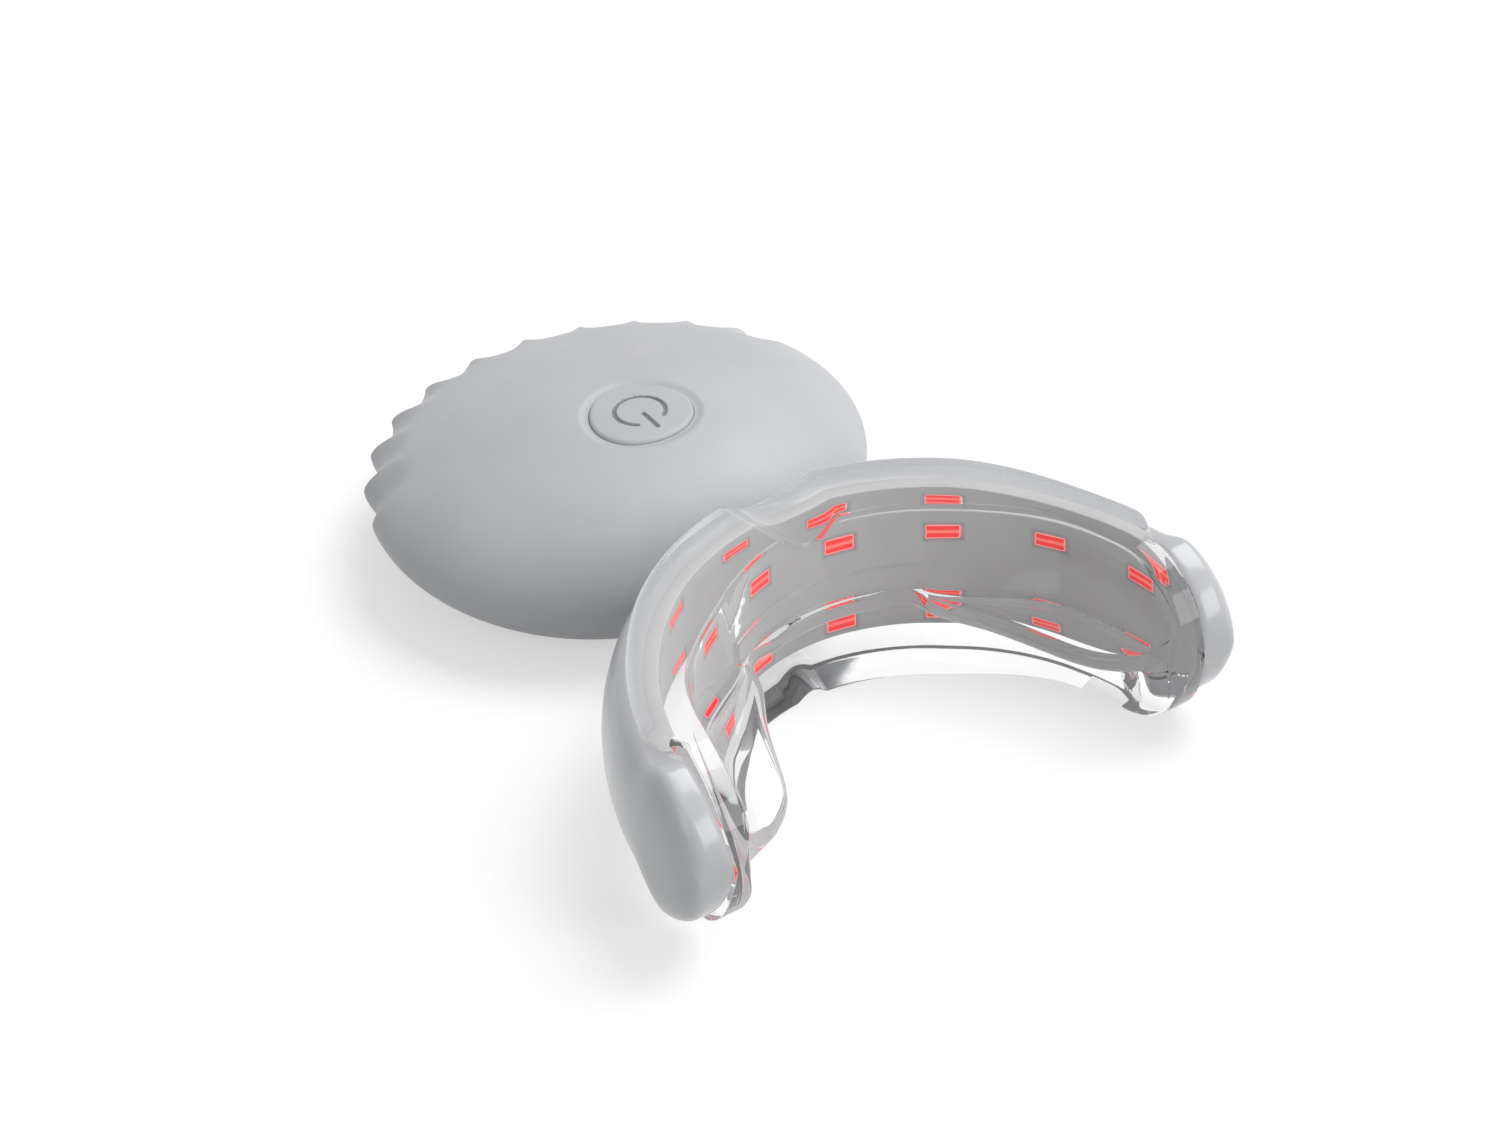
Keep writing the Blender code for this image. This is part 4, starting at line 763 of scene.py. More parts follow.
def tray_sections(arcs):
    """Reaches and heights of the tray's section: wall, flanges, strip pocket and bite plate."""
    along = np.abs(arcs)
    share = blend_share(along, RIM_TAPER_START, RIM_TAPER_END)
    keep = tip_share(arcs)
    top = mixed(TRAY_RISE_FRONT, TRAY_RISE_BACK, share) * keep
    low = -mixed(TRAY_DROP_FRONT, TRAY_DROP_BACK, share) * keep
    top = top - UPPER_NOTCH_DEPTH * notch_share(arcs, UPPER_NOTCH_HALF_WIDTH)
    low = low + LOWER_NOTCH_DEPTH * notch_share(arcs, LOWER_NOTCH_HALF_WIDTH)
    into_end = np.clip((along - (HALF_ARC - TIP_EDGE_LENGTH)) / TIP_EDGE_LENGTH, 0, 1)
    thinner = TIP_EDGE_LENGTH * (1 - np.sqrt(1 - into_end**2))
    wall = mixed(TRAY_WALL_FRONT, TRAY_WALL_BACK, share) - thinner
    seat = PANEL_FACE + SEAT_OVERLAP - thinner / 2
    flange = outer_reach(arcs) * (1 - blend_share(along, FLANGE_END_START, FLANGE_END))
    flange = np.maximum(flange, seat)
    middle, half = strip_middle_and_half(arcs)
    pocket_top = np.minimum(middle + half - BOND_OVERLAP, top - TRAY_LIP_RADIUS * keep)
    pocket_low = np.maximum(middle - half + BOND_OVERLAP, low + TRAY_LIP_RADIUS * keep)
    has_plate = along < BITE_PLATE_BACK_ARC
    plate = plate_reaches(arcs, wall)
    plate_top = np.where(has_plate, BITE_PLATE_ABOVE, BARE_WALL_SHARE * top)
    plate_low = np.where(has_plate, -BITE_PLATE_BELOW, BARE_WALL_SHARE * low)
    has_step = along <= FRONT_STEP_HALF_LENGTH
    step_top = np.where(has_step, FRONT_STEP_ABOVE, plate_top)
    step = np.where(has_step, FRONT_STEP_REACH, 0.0)
    plate_round = (BITE_PLATE_ABOVE + BITE_PLATE_BELOW) / 2
    corners = (
        (-wall, low, UP, OUT, TRAY_RIM_RADIUS),
        (flange, low, IN, UP, TRAY_EDGE_RADIUS),
        (flange, pocket_low, DOWN, IN, TRAY_LIP_RADIUS / 4),
        (seat, pocket_low, OUT, UP, BOND_OVERLAP),
        (seat, pocket_top, DOWN, OUT, BOND_OVERLAP),
        (flange, pocket_top, IN, UP, TRAY_LIP_RADIUS / 4),
        (flange, top, DOWN, IN, TRAY_EDGE_RADIUS),
        (-wall, top, OUT, DOWN, TRAY_RIM_RADIUS),
        (-wall, step_top, UP, IN, TRAY_FILLET_RADIUS),
        (-wall - step, step_top, OUT, DOWN, TRAY_LIP_RADIUS / 2),
        (-wall - step, plate_top, UP, IN, TRAY_FILLET_RADIUS),
        (-plate, plate_top, OUT, DOWN, plate_round),
        (-plate, plate_low, UP, OUT, plate_round),
        (-wall, plate_low, IN, DOWN, TRAY_FILLET_RADIUS),
    )
    return rounded_sections(corners)


def make_tray(colours):
    """Clear soft tray as one skin from tip to tip."""
    extra = [FRONT_STEP_HALF_LENGTH + run * STEP_EDGE_RUN for run in (-4, -1, 0, 1, 4)]
    arcs = arch_arcs(extra=extra)
    reaches, heights = tray_sections(arcs)
    tray = skin("clear_tray", stand_on_arch(arcs, reaches, heights), "pinch")
    weight_normals(tray.data)
    paint(tray, silicone_material(colours))
    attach(tray, "device")
    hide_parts("mouth_tray")


# Strip: casing, panel and lights


def casing_sections(arcs):
    """Reaches and heights of the casing: crown outside, lip, panel seat and board recess inside."""
    keep = tip_share(arcs)
    middle, half = strip_middle_and_half(arcs)
    half = half * keep
    fuller = mixed(LOBE_TIP_SHARE, 1.0, keep)
    crown = mixed(CASING_FACE, outer_reach(arcs) + STRIP_CROWN_OUT, fuller)
    edge = mixed(CASING_FACE, outer_reach(arcs) - STRIP_EDGE_INSET, fuller)
    lobe = blend_share(np.abs(arcs), LOBE_START, LOBE_FULL)
    face = mixed(CASING_FACE - LEAST_STEP, PANEL_FACE, lobe)
    lip = mixed(2 * LEAST_STEP, np.minimum(LOBE_LIP_WIDTH, half) / 2, lobe)
    panel = np.minimum(panel_half_height(arcs) + SEAT_GAP, half - lip)
    round_off = np.minimum(mixed(LEAST_STEP / 2, LOBE_LIP_RADIUS, lobe), (half - panel) / 2)
    board_top, board_low, recess = board_recess(arcs, panel, middle)
    angles = np.linspace(-math.pi / 2, math.pi / 2, CROWN_STEPS + 1)
    reaches = edge[:, None] + (crown - edge)[:, None] * np.cos(angles)
    heights = middle[:, None] + half[:, None] * np.sin(angles)
    turns = np.linspace(0, math.pi / 2, CORNER_STEPS + 1)
    upper_r = (face + round_off)[:, None] - round_off[:, None] * np.sin(turns)
    upper_h = (middle + half - round_off)[:, None] + round_off[:, None] * np.cos(turns)
    lower_h = (middle - half + round_off)[:, None] - round_off[:, None] * np.cos(turns)
    seat_r = np.full_like(face, CASING_FACE)
    inner_r = np.stack([face, seat_r, seat_r, recess, recess, seat_r, seat_r, face], axis=1)
    high = middle + panel
    low = middle - panel
    inner_h = np.stack([high, high, board_top, board_top, board_low, board_low, low, low], axis=1)
    all_reaches = np.concatenate([reaches, upper_r, inner_r, upper_r[:, ::-1]], axis=1)
    all_heights = np.concatenate([heights, upper_h, inner_h, lower_h[:, ::-1]], axis=1)
    return all_reaches, all_heights


def board_recess(arcs, panel, middle):
    """Upper and lower edge and depth of the recess that takes the light board."""
    half_length = LIGHT_BOARD_HALF_LENGTH + SEAT_GAP
    into_end = (np.abs(arcs) - (half_length - LIGHT_BOARD_END_ROUND)) / LIGHT_BOARD_END_ROUND
    into_end = np.clip(into_end, 0, 1)
    half = LIGHT_BOARD_HALF_HEIGHT + SEAT_GAP
    half = half - LIGHT_BOARD_END_ROUND * (1 - np.sqrt(1 - into_end**2))
    inside = np.abs(arcs) <= half_length
    top = np.where(inside, LIGHT_ROWS_MIDDLE + half, middle + LEAST_STEP)
    low = np.where(inside, LIGHT_ROWS_MIDDLE - half, middle - LEAST_STEP)
    top = np.minimum(top, middle + RECESS_ROOM_SHARE * panel)
    low = np.maximum(low, middle - RECESS_ROOM_SHARE * panel)
    return top, low, np.where(inside, RECESS_BACK, CASING_FACE + LEAST_STEP)


def oval_column(name, half_x, half_z, start_y, end_y):
    """An oval rod along Y at the neck's height."""
    angles = np.linspace(0, math.tau, NECK_POINTS, False)
    x = half_x * np.cos(angles)
    z = NECK_HEIGHT + half_z * np.sin(angles)
    rings = [np.stack([x, np.full_like(x, y), z], axis=1) for y in (start_y, end_y)]
    return skin(name, np.array(rings))


def make_casing(colours):
    """Satin grey casing of the strip, with a glossy rounded lobe at each end."""
    arcs = arch_arcs()
    casing = skin("strip_casing", stand_on_arch(arcs, *casing_sections(arcs)), "pinch")
    front = ARCH_FRONT_Y - FLANGE_REACH_FRONT + CASING_FACE + SEAT_GAP
    back = ARCH_FRONT_Y + STRIP_CROWN_OUT + OVERRUN
    half_x = NECK_HALF_WIDTH + SEAT_GAP
    hole = oval_column("neck hole", half_x, NECK_HALF_HEIGHT + SEAT_GAP, front, back)
    casing = cut_away(casing, hole)
    casing.data.set_sharp_from_angle(angle=math.radians(50))
    paint(casing, casing_material(colours))
    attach(casing, "device")
    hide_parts("arch_casing")


def runs_along_y(edge):
    """Whether an edge of a straight box runs along Y."""
    first, last = edge.verts
    return first.co.x == last.co.x and first.co.z == last.co.z


def rounded_box(form, size, radius, place):
    """Add a box to the form, with its edges along Y rounded."""
    made = bmesh.ops.create_cube(form, size=1, matrix=Matrix.Diagonal((*size, 1)))
    edges = {edge for point in made["verts"] for edge in point.link_edges}
    deep = [edge for edge in edges if runs_along_y(edge)]
    before = set(form.verts) - set(made["verts"])
    steps = BOX_CORNER_STEPS
    bmesh.ops.bevel(form, geom=deep, offset=radius, segments=steps, affect="EDGES", profile=0.5)
    added = [point for point in form.verts if point not in before]
    bmesh.ops.transform(form, matrix=place, verts=added)


def light_arcs():
    """Arc length of each light in a row."""
    first = -(LIGHTS_PER_ROW - 1) / 2 * LIGHT_PITCH
    return [first + i * LIGHT_PITCH for i in range(LIGHTS_PER_ROW)]


def light_windows():
    """Cutter for the panel's windows."""
    form = bmesh.new()
    gap = 2 * WINDOW_GAP
    size = (LIGHT_LENGTH + gap, PANEL_THICKNESS + OVERRUN, LIGHT_HEIGHT + gap)
    reach = np.full((1, 1), (PANEL_FACE + PANEL_BACK) / 2)
    for arc in light_arcs():
        for side in (1, -1):
            height = np.full((1, 1), LIGHT_ROWS_MIDDLE + side * LIGHT_ROW_RISE)
            place = stand_on_arch(np.array([arc]), reach, height)[0, 0]
            turn = Matrix.Rotation(turn_at(arc), 4, "Z")
            rounded_box(form, size, LIGHT_CORNER_RADIUS, Matrix.Translation(place) @ turn)
    mesh = bpy.data.meshes.new("light windows")
    form.to_mesh(mesh)
    form.free()
    face_outwards(mesh)
    return add_object("light windows", mesh)


def make_panel(colours):
    """Grey panel with a window for each light."""
    end = HALF_ARC - LOBE_LIP_WIDTH
    arcs = arch_arcs(end)
    middle = strip_middle_and_half(arcs)[0]
    half = panel_half_height(arcs)
    face = np.full_like(arcs, PANEL_FACE)
    back = np.full_like(arcs, CASING_FACE + BOND_OVERLAP)
    corners = (
        (face, middle - half, UP, OUT, PANEL_EDGE_RADIUS),
        (back, middle - half, IN, UP, PANEL_EDGE_RADIUS),
        (back, middle + half, DOWN, IN, PANEL_EDGE_RADIUS),
        (face, middle + half, OUT, DOWN, PANEL_EDGE_RADIUS),
    )
    section = rounded_sections(corners, PANEL_CORNER_STEPS)
    panel = skin("light_panel", stand_on_arch(arcs, *section), "pinch")
    panel = cut_away(panel, light_windows())
    panel.data.set_sharp_from_angle(angle=math.radians(40))
    mark_strip(panel.data)
    paint(panel, panel_material(colours))
    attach(panel, "device")
    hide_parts("led_panel")


def mark_strip(mesh):
    """Give each point its arc length and its height over the middle of the light rows."""
    places = np.zeros(len(mesh.vertices) * 3)
    mesh.vertices.foreach_get("co", places)
    places = places.reshape(-1, 3)
    heights = places[:, 2] - BITE_PLANE_Z - LIGHT_ROWS_MIDDLE
    marks = np.stack([measure_arch(places), heights, np.zeros(len(places))], axis=1)
    layer = mesh.attributes.new("strip_place", "FLOAT_VECTOR", "POINT")
    layer.data.foreach_set("vector", marks.ravel())


def light_form():
    """One light: a package with a slightly rounded front edge and a flat face, marked into frame
    and lens, that faces -Y.
    """
    depth = PANEL_BACK - PANEL_FACE
    half_x = LIGHT_LENGTH / 2
    half_z = LIGHT_HEIGHT / 2
    steps = (
        (0.0, depth / 2, 0.0),
        (0.0, -depth / 2 + LIGHT_DOME, 0.0),
        (LIGHT_DOME, -depth / 2, 0.0),
        (LIGHT_FRAME_WIDTH, -depth / 2, FRAME_GLOW_SHARE),
        (1.5 * LIGHT_FRAME_WIDTH, -depth / 2, 1.0),
        (3 * LIGHT_FRAME_WIDTH, -depth / 2, 1.0),
    )
    rings = []
    for inset, y, _ in steps:
        radius = max(LIGHT_CORNER_RADIUS - inset, LIGHT_DOME)
        outline = rounded_rectangle(half_x - inset, half_z - inset, radius)
        rings.append([(x, y, z) for x, z in outline])
    light = skin("one light", np.array(rings), "pole")
    points = len(rings[0])
    shares = [share for _, _, share in steps for _ in range(points)] + [1.0]
    mark_points(light.data, "glow", shares)
    mark_points(light.data, "stripe", [point.co.z / half_z for point in light.data.vertices])
    return light


def rounded_rectangle(half_x, half_y, radius):
    """Points round a rectangle with rounded corners."""
    points = []
    turns = np.radians(np.linspace(0, 90, CORNER_STEPS + 1))
    for start, x_side, y_side in ((0, 1, 1), (90, -1, 1), (180, -1, -1), (270, 1, -1)):
        for turn in turns:
            angle = math.radians(start) + turn
            x = x_side * (half_x - radius) + radius * math.cos(angle)
            y = y_side * (half_y - radius) + radius * math.sin(angle)
            points.append((x, y))
    return points


def seat_guide(reach):
    """A curve from the first light of a row to the last, this far out from the seat."""
    arcs = np.linspace(light_arcs()[0], light_arcs()[-1], GUIDE_POINTS)
    reaches = np.full((GUIDE_POINTS, 1), reach)
    places = stand_on_arch(arcs, reaches, np.zeros((GUIDE_POINTS, 1)))[:, 0]
    curve = bpy.data.curves.new("light guide", "CURVE")
    curve.dimensions = "3D"
    spline = curve.splines.new("POLY")
    spline.points.add(len(places) - 1)
    for point, place in zip(spline.points, places):
        point.co = (*place, 1)
    guide = bpy.data.objects.new("light guide", curve)
    bpy.context.scene.collection.objects.link(guide)
    return guide


def lights_tree():
    """Tree that sets a light at even steps along a guide, in two rows."""
    inputs = (
        ("Light", "NodeSocketObject"),
        ("Count", "NodeSocketInt"),
        ("Rows Middle", "NodeSocketFloat"),
        ("Row Rise", "NodeSocketFloat"),
        ("Material", "NodeSocketMaterial"),
    )
    tree, given = new_tree("light rows", inputs)
    points = add_node(
        tree,
        "GeometryNodeCurveToPoints",
        mode="COUNT",
        Curve=given["Geometry"],
        Count=given["Count"],
    )
    align = add_node(
        tree,
        "FunctionNodeAlignRotationToVector",
        axis="X",
        pivot_axis="Z",
        Vector=points.outputs["Tangent"],
    )
    light = add_node(tree, "GeometryNodeObjectInfo", Object=given["Light"])
    rows = add_node(tree, "GeometryNodeJoinGeometry")
    for operation in ("ADD", "SUBTRACT"):
        height = math_node(tree, operation, given["Rows Middle"], given["Row Rise"])
        row = add_node(
            tree,
            "GeometryNodeInstanceOnPoints",
            Points=points.outputs["Points"],
            Instance=light.outputs["Geometry"],
            Rotation=align.outputs["Rotation"],
        )
        move = add_node(
            tree,
            "GeometryNodeTranslateInstances",
            Local_Space=False,
            Instances=row.outputs["Instances"],
            Translation=add_node(tree, "ShaderNodeCombineXYZ", Z=height).outputs["Vector"],
        )
        tree.links.new(move.outputs["Instances"], rows.inputs["Geometry"])
    finish_tree(tree, given, rows.outputs["Geometry"])
    return tree


def make_lights(colours):
    """Sixteen red lights in two rows, one in each window."""
    material = light_material(colours)
    light = light_form()
    guide = seat_guide((PANEL_FACE + PANEL_BACK) / 2)
    values = {
        "Light": light,
        "Count": LIGHTS_PER_ROW,
        "Rows Middle": LIGHT_ROWS_MIDDLE,
        "Row Rise": LIGHT_ROW_RISE,
        "Material": material,
    }
    lights = grown(guide, "red_lights", lights_tree(), values)
    bpy.data.objects.remove(light)
    lights.data.shade_smooth()
    lights.data.set_sharp_from_angle(angle=math.radians(35))
    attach(lights, "device")
    names = [f"led_{row}_{i + 1}" for row in ("upper", "lower") for i in range(LIGHTS_PER_ROW)]
    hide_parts(*names)


# Pod


def pod_height(x, y):
    """Height of the pod's smooth top over a place given from the pod's middle."""
    reach = (x / POD_HALF_WIDTH) ** 2 + (y / POD_HALF_LENGTH) ** 2
    lift = POD_RISE * np.maximum(1 - reach, 0) ** (POD_CURVE_POWER / 2)
    return POD_WAIST_HEIGHT + lift * (1 - POD_LEAN_SHARE * y / POD_HALF_LENGTH)


def ring_angles():
    """Angles round the plan, closer together on the fluted side, with 90 degrees at the back."""
    start = 90 - FLUTED_HALF_SPAN
    end = 90 + FLUTED_HALF_SPAN
    fluted = np.linspace(start, end, FLUTES * FLUTE_STEPS, False)
    smooth = np.linspace(end, 360 + start, FRONT_STEPS, False)
    return np.concatenate([fluted, smooth])


ANGLES = ring_angles()


def flute_shares():
    """Depth of the scoop at each angle: 0 on the ridges and the smooth front, 1 in a scoop."""
    along = ANGLES - (90 - FLUTED_HALF_SPAN)
    across = 2 * (along / FLUTE_PITCH_DEGREES % 1) - 1
    return np.where(along < 2 * FLUTED_HALF_SPAN, 1 - across * across, 0.0)


def flute_depth(radius_share, lift):
    """Scoop depth at a ring: full at the waist, none on the crown and near the base."""
    if lift >= 0:
        start = FLUTE_TOP_START_SHARE
        return FLUTE_DEPTH * float(blend_share(radius_share, start, FLUTE_TOP_FULL_SHARE))
    return FLUTE_DEPTH * float(1 - blend_share(-lift, 0, FLUTE_LOW_END))


def leaned(lift, y_share):
    """Height above the table of a point this far above or below the waist."""
    return POD_WAIST_HEIGHT + np.where(lift > 0, lift * (1 - POD_LEAN_SHARE * y_share), lift)


def pod_ring(radius_share, lift):
    """One fluted ring of the pod's outer surface."""
    angles = np.radians(ANGLES)
    scoop = flute_depth(radius_share, lift) * flute_shares()
    x = (POD_HALF_WIDTH * radius_share - scoop) * np.cos(angles)
    y = (POD_HALF_LENGTH * radius_share - scoop) * np.sin(angles)
    return np.stack([x, POD_Y + y, leaned(lift, radius_share * np.sin(angles))], axis=1)


def button_ring(directions, grow):
    """Places (x, y) on the button's outline, grown by a distance, in these directions."""
    swell = 1 + BUTTON_CORNER_SHARE * np.cos(BUTTON_CORNERS * (directions - math.pi / 2))
    radius = BUTTON_RADIUS * swell + grow
    x = radius * np.cos(directions)
    return x, BUTTON_Y + radius * np.sin(directions)


def pod_oval(half_x, half_y, angles):
    """Places (x, y) round an oval on the pod's middle."""
    return half_x * np.cos(angles), POD_Y + half_y * np.sin(angles)


def laid_ring(x, y, height):
    """A ring at these places and this height, or these heights."""
    return np.stack([x, y, np.broadcast_to(height, x.shape)], axis=1)


def sunk_ring(x, y, depth=0.0):
    """A ring at these places, this deep under the pod's smooth top."""
    return laid_ring(x, y, pod_height(x, y - POD_Y) - depth)


def collar_low():
    """Height of the lower end of the collar round the button."""
    return float(pod_height(0.0, -BUTTON_AHEAD)) - COLLAR_DEPTH


def outer_rings():
    """Rings of the shell's outside, from the rim up to where the button's dish begins."""
    cut = ((POD_WAIST_HEIGHT - POD_RIM_HEIGHT) / POD_DROP) ** (1 / POD_CURVE_POWER)
    rings = []
    for angle in np.linspace(math.acos(cut), math.pi / 2, RINGS_TO_WAIST, False):
        rings.append(pod_ring(math.sin(angle), -POD_DROP * math.cos(angle) ** POD_CURVE_POWER))
    for angle in np.linspace(math.pi / 2, math.asin(CROWN_EDGE_SHARE), RINGS_TO_CROWN):
        lift = POD_RISE * max(math.cos(angle), 0.0) ** POD_CURVE_POWER
        rings.append(pod_ring(math.sin(angle), lift))
    return rings


def dish_rings(last):
    """Rings from the crown's last ring into the button's hole, with the soft groove."""
    directions = np.arctan2(last[:, 1] - BUTTON_Y, last[:, 0])
    lip_x, lip_y = button_ring(directions, CAP_GROWTH + HAIRLINE + GROOVE_WIDTH)
    rings = []
    for share in np.linspace(0, 1, DISH_RINGS)[1:]:
        x = mixed(last[:, 0], lip_x, share)
        y = mixed(last[:, 1], lip_y, share)
        rings.append(sunk_ring(x, y))
    for share in np.linspace(0, 1, GROOVE_RINGS)[1:]:
        x, y = button_ring(directions, CAP_GROWTH + HAIRLINE + GROOVE_WIDTH * (1 - share))
        rings.append(sunk_ring(x, y, GROOVE_DEPTH * blend_share(share, 0, GROOVE_FULL_SHARE)))
    for grow in (BUTTON_GAP, BUTTON_GAP + COLLAR_WALL):
        rings.append(laid_ring(*button_ring(directions, grow), collar_low()))
    return rings


def inner_rings(collar):
    """Rings of the shell's inside, from the button's collar down to the rim."""
    inset = POD_WALL + FLUTE_DEPTH / 2
    half_x = POD_HALF_WIDTH - inset
    half_y = POD_HALF_LENGTH - inset
    rise = POD_RISE - POD_WALL
    drop = POD_DROP - POD_WALL
    angles = np.radians(ANGLES)
    rings = []
    start = np.stack([collar[:, 0] / half_x, (collar[:, 1] - POD_Y) / half_y], axis=1)
    edge = np.stack([np.cos(angles), np.sin(angles)], axis=1)
    for share in np.sin(np.linspace(0, math.pi / 2, INNER_RINGS)):
        place = mixed(start, edge, share)
        fill = np.clip(1 - (place**2).sum(axis=1), 0, 1)
        lift = rise * fill ** (POD_CURVE_POWER / 2)
        height = leaned(lift, place[:, 1])
        rings.append(laid_ring(half_x * place[:, 0], POD_Y + half_y * place[:, 1], height))
    cut = ((POD_WAIST_HEIGHT - LEDGE_TOP) / drop) ** (1 / POD_CURVE_POWER)
    for angle in np.linspace(math.pi / 2, math.acos(cut), INNER_RIM_RINGS)[1:]:
        height = POD_WAIST_HEIGHT - drop * math.cos(angle) ** POD_CURVE_POWER
        x, y = pod_oval(half_x * math.sin(angle), half_y * math.sin(angle), angles)
        rings.append(laid_ring(x, y, height))
    return rings


def rim_rings(rim):
    """Rings round the ledge and the lid's seat, down to the shell's underside."""
    angles = np.radians(ANGLES)
    half_x = np.abs(rim[:, 0]).max() - POD_WALL
    half_y = np.abs(rim[:, 1] - POD_Y).max() - POD_WALL
    way_in = LEDGE_WIDTH + SEAT_GAP
    wide = pod_oval(half_x, half_y, angles)
    narrow = pod_oval(half_x - way_in, half_y - way_in, angles)
    return [
        laid_ring(*narrow, LEDGE_TOP),
        laid_ring(*narrow, LEDGE_LOW),
        laid_ring(*wide, LEDGE_LOW),
        laid_ring(*wide, POD_RIM_HEIGHT),
    ]


def column(name, radius, x, y, low, high):
    """A round rod that stands on a place."""
    angles = np.linspace(0, math.tau, COLUMN_POINTS, False)
    ring_x = x + radius * np.cos(angles)
    ring_y = y + radius * np.sin(angles)
    rings = [laid_ring(ring_x, ring_y, height) for height in (low, high)]
    return skin(name, np.array(rings))


def make_shell(colours):
    """Fluted pod shell as one skin round its inside, with the button's soft groove."""
    outside = outer_rings()
    dish = dish_rings(outside[-1])
    rings = outside + dish + inner_rings(dish[-1]) + rim_rings(outside[0])
    shell = skin("fluted_shell", np.array(rings), "wrap")
    front = POD_Y - POD_HALF_LENGTH - OVERRUN
    half_x = NECK_HALF_WIDTH + SEAT_GAP
    half_z = NECK_HALF_HEIGHT + SEAT_GAP
    hole = oval_column("shell neck hole", half_x, half_z, front, front + 4 * OVERRUN)
    shell = cut_away(shell, hole)
    bore_top = float(pod_height(STATUS_X, STATUS_Y)) - PIPE_SKIN
    bore = column(
        "pipe bore",
        PIPE_RADIUS + SEAT_GAP,
        STATUS_X,
        POD_Y + STATUS_Y,
        bore_top - 2 * OVERRUN,
        bore_top,
    )
    shell = cut_away(shell, bore)
    shell.data.set_sharp_from_angle(angle=math.radians(38))
    paint(shell, shell_material(colours))
    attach(shell, "device")
    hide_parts("pod_shell")


def icon_distance(x, y):
    """Distance from the middle line of the power symbol's nearest stroke."""
    angle = np.arctan2(x, -y)
    gap = math.radians(ICON_GAP_DEGREES)
    ring = np.abs(np.hypot(x, y) - ICON_RADIUS)
    end_x = ICON_RADIUS * math.sin(gap)
    end_y = -ICON_RADIUS * math.cos(gap)
    ends = np.hypot(np.abs(x) - end_x, y - end_y)
    ring = np.where(np.abs(angle) >= gap, ring, ends)
    bar = np.hypot(x, y - np.clip(y, -ICON_BAR_END, -ICON_BAR_START))
    return np.minimum(ring, bar)


def icon_share(x, y, soft):
    """1 in the power symbol and 0 beside it, softened by this share of its stroke either way."""
    from_stroke = icon_distance(x, y - BUTTON_Y)
    return 1 - blend_share(from_stroke, ICON_STROKE * (0.5 - soft), ICON_STROKE * (0.5 + soft))


def make_button(sizes, colours):
    """Power button: a rounded cap with the pressed-in power symbol, on its flange and foot."""
    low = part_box("power_button")[0].z
    flange_top = collar_low() - 2 * SEAT_GAP - SEAL_THICKNESS
    flange_low = flange_top - BUTTON_FLANGE_THICKNESS
    directions = np.linspace(0, math.tau, BUTTON_POINTS, False)
    stem = button_ring(directions, 0)
    foot_share = BUTTON_FOOT_RADIUS / BUTTON_RADIUS
    foot = (stem[0] * foot_share, mixed(BUTTON_Y, stem[1], foot_share))
    wide = button_ring(directions, BUTTON_FLANGE_REACH)
    rings = [
        laid_ring(*foot, low),
        laid_ring(*foot, flange_low),
        laid_ring(*wide, flange_low),
        laid_ring(*wide, flange_top),
        laid_ring(*stem, flange_top),
        laid_ring(*button_ring(directions, CAP_GROWTH), flange_top + COLLAR_DEPTH / 2),
    ]
    for turn in np.linspace(0, math.pi / 2, BUTTON_EDGE_RINGS):
        inset = BUTTON_EDGE_ROUND * (1 - math.cos(turn))
        x, y = button_ring(directions, CAP_GROWTH - inset)
        rings.append(sunk_ring(x, y, BUTTON_EDGE_ROUND * (1 - math.sin(turn))))
    rim_x, rim_y = button_ring(directions, CAP_GROWTH - BUTTON_EDGE_ROUND)
    for share in np.linspace(1, 0, BUTTON_TOP_RINGS)[1:-1]:
        x = rim_x * share
        y = mixed(BUTTON_Y, rim_y, share)
        rings.append(sunk_ring(x, y, sizes.icon_depth * icon_share(x, y, ICON_FLANK_SHARE)))
    button = skin("round_button", np.array(rings), "pole")
    button.data.set_sharp_from_angle(angle=math.radians(60))
    mark_icon(button.data)
    paint(button, button_material(colours))
    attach(button, "button")
    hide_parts("power_button")


def mark_icon(mesh):
    """Store how far each point lies inside the power symbol, for the painted shade in it."""
    shares = []
    for point in mesh.vertices:
        x, y, z = point.co
        on_top = z > pod_height(x, y - POD_Y) - 2 * BUTTON_EDGE_ROUND
        shares.append(float(icon_share(x, y, ICON_SHADE_SOFT_SHARE)) if on_top else 0.0)
    mark_points(mesh, "icon", shares)


# Pieces inside


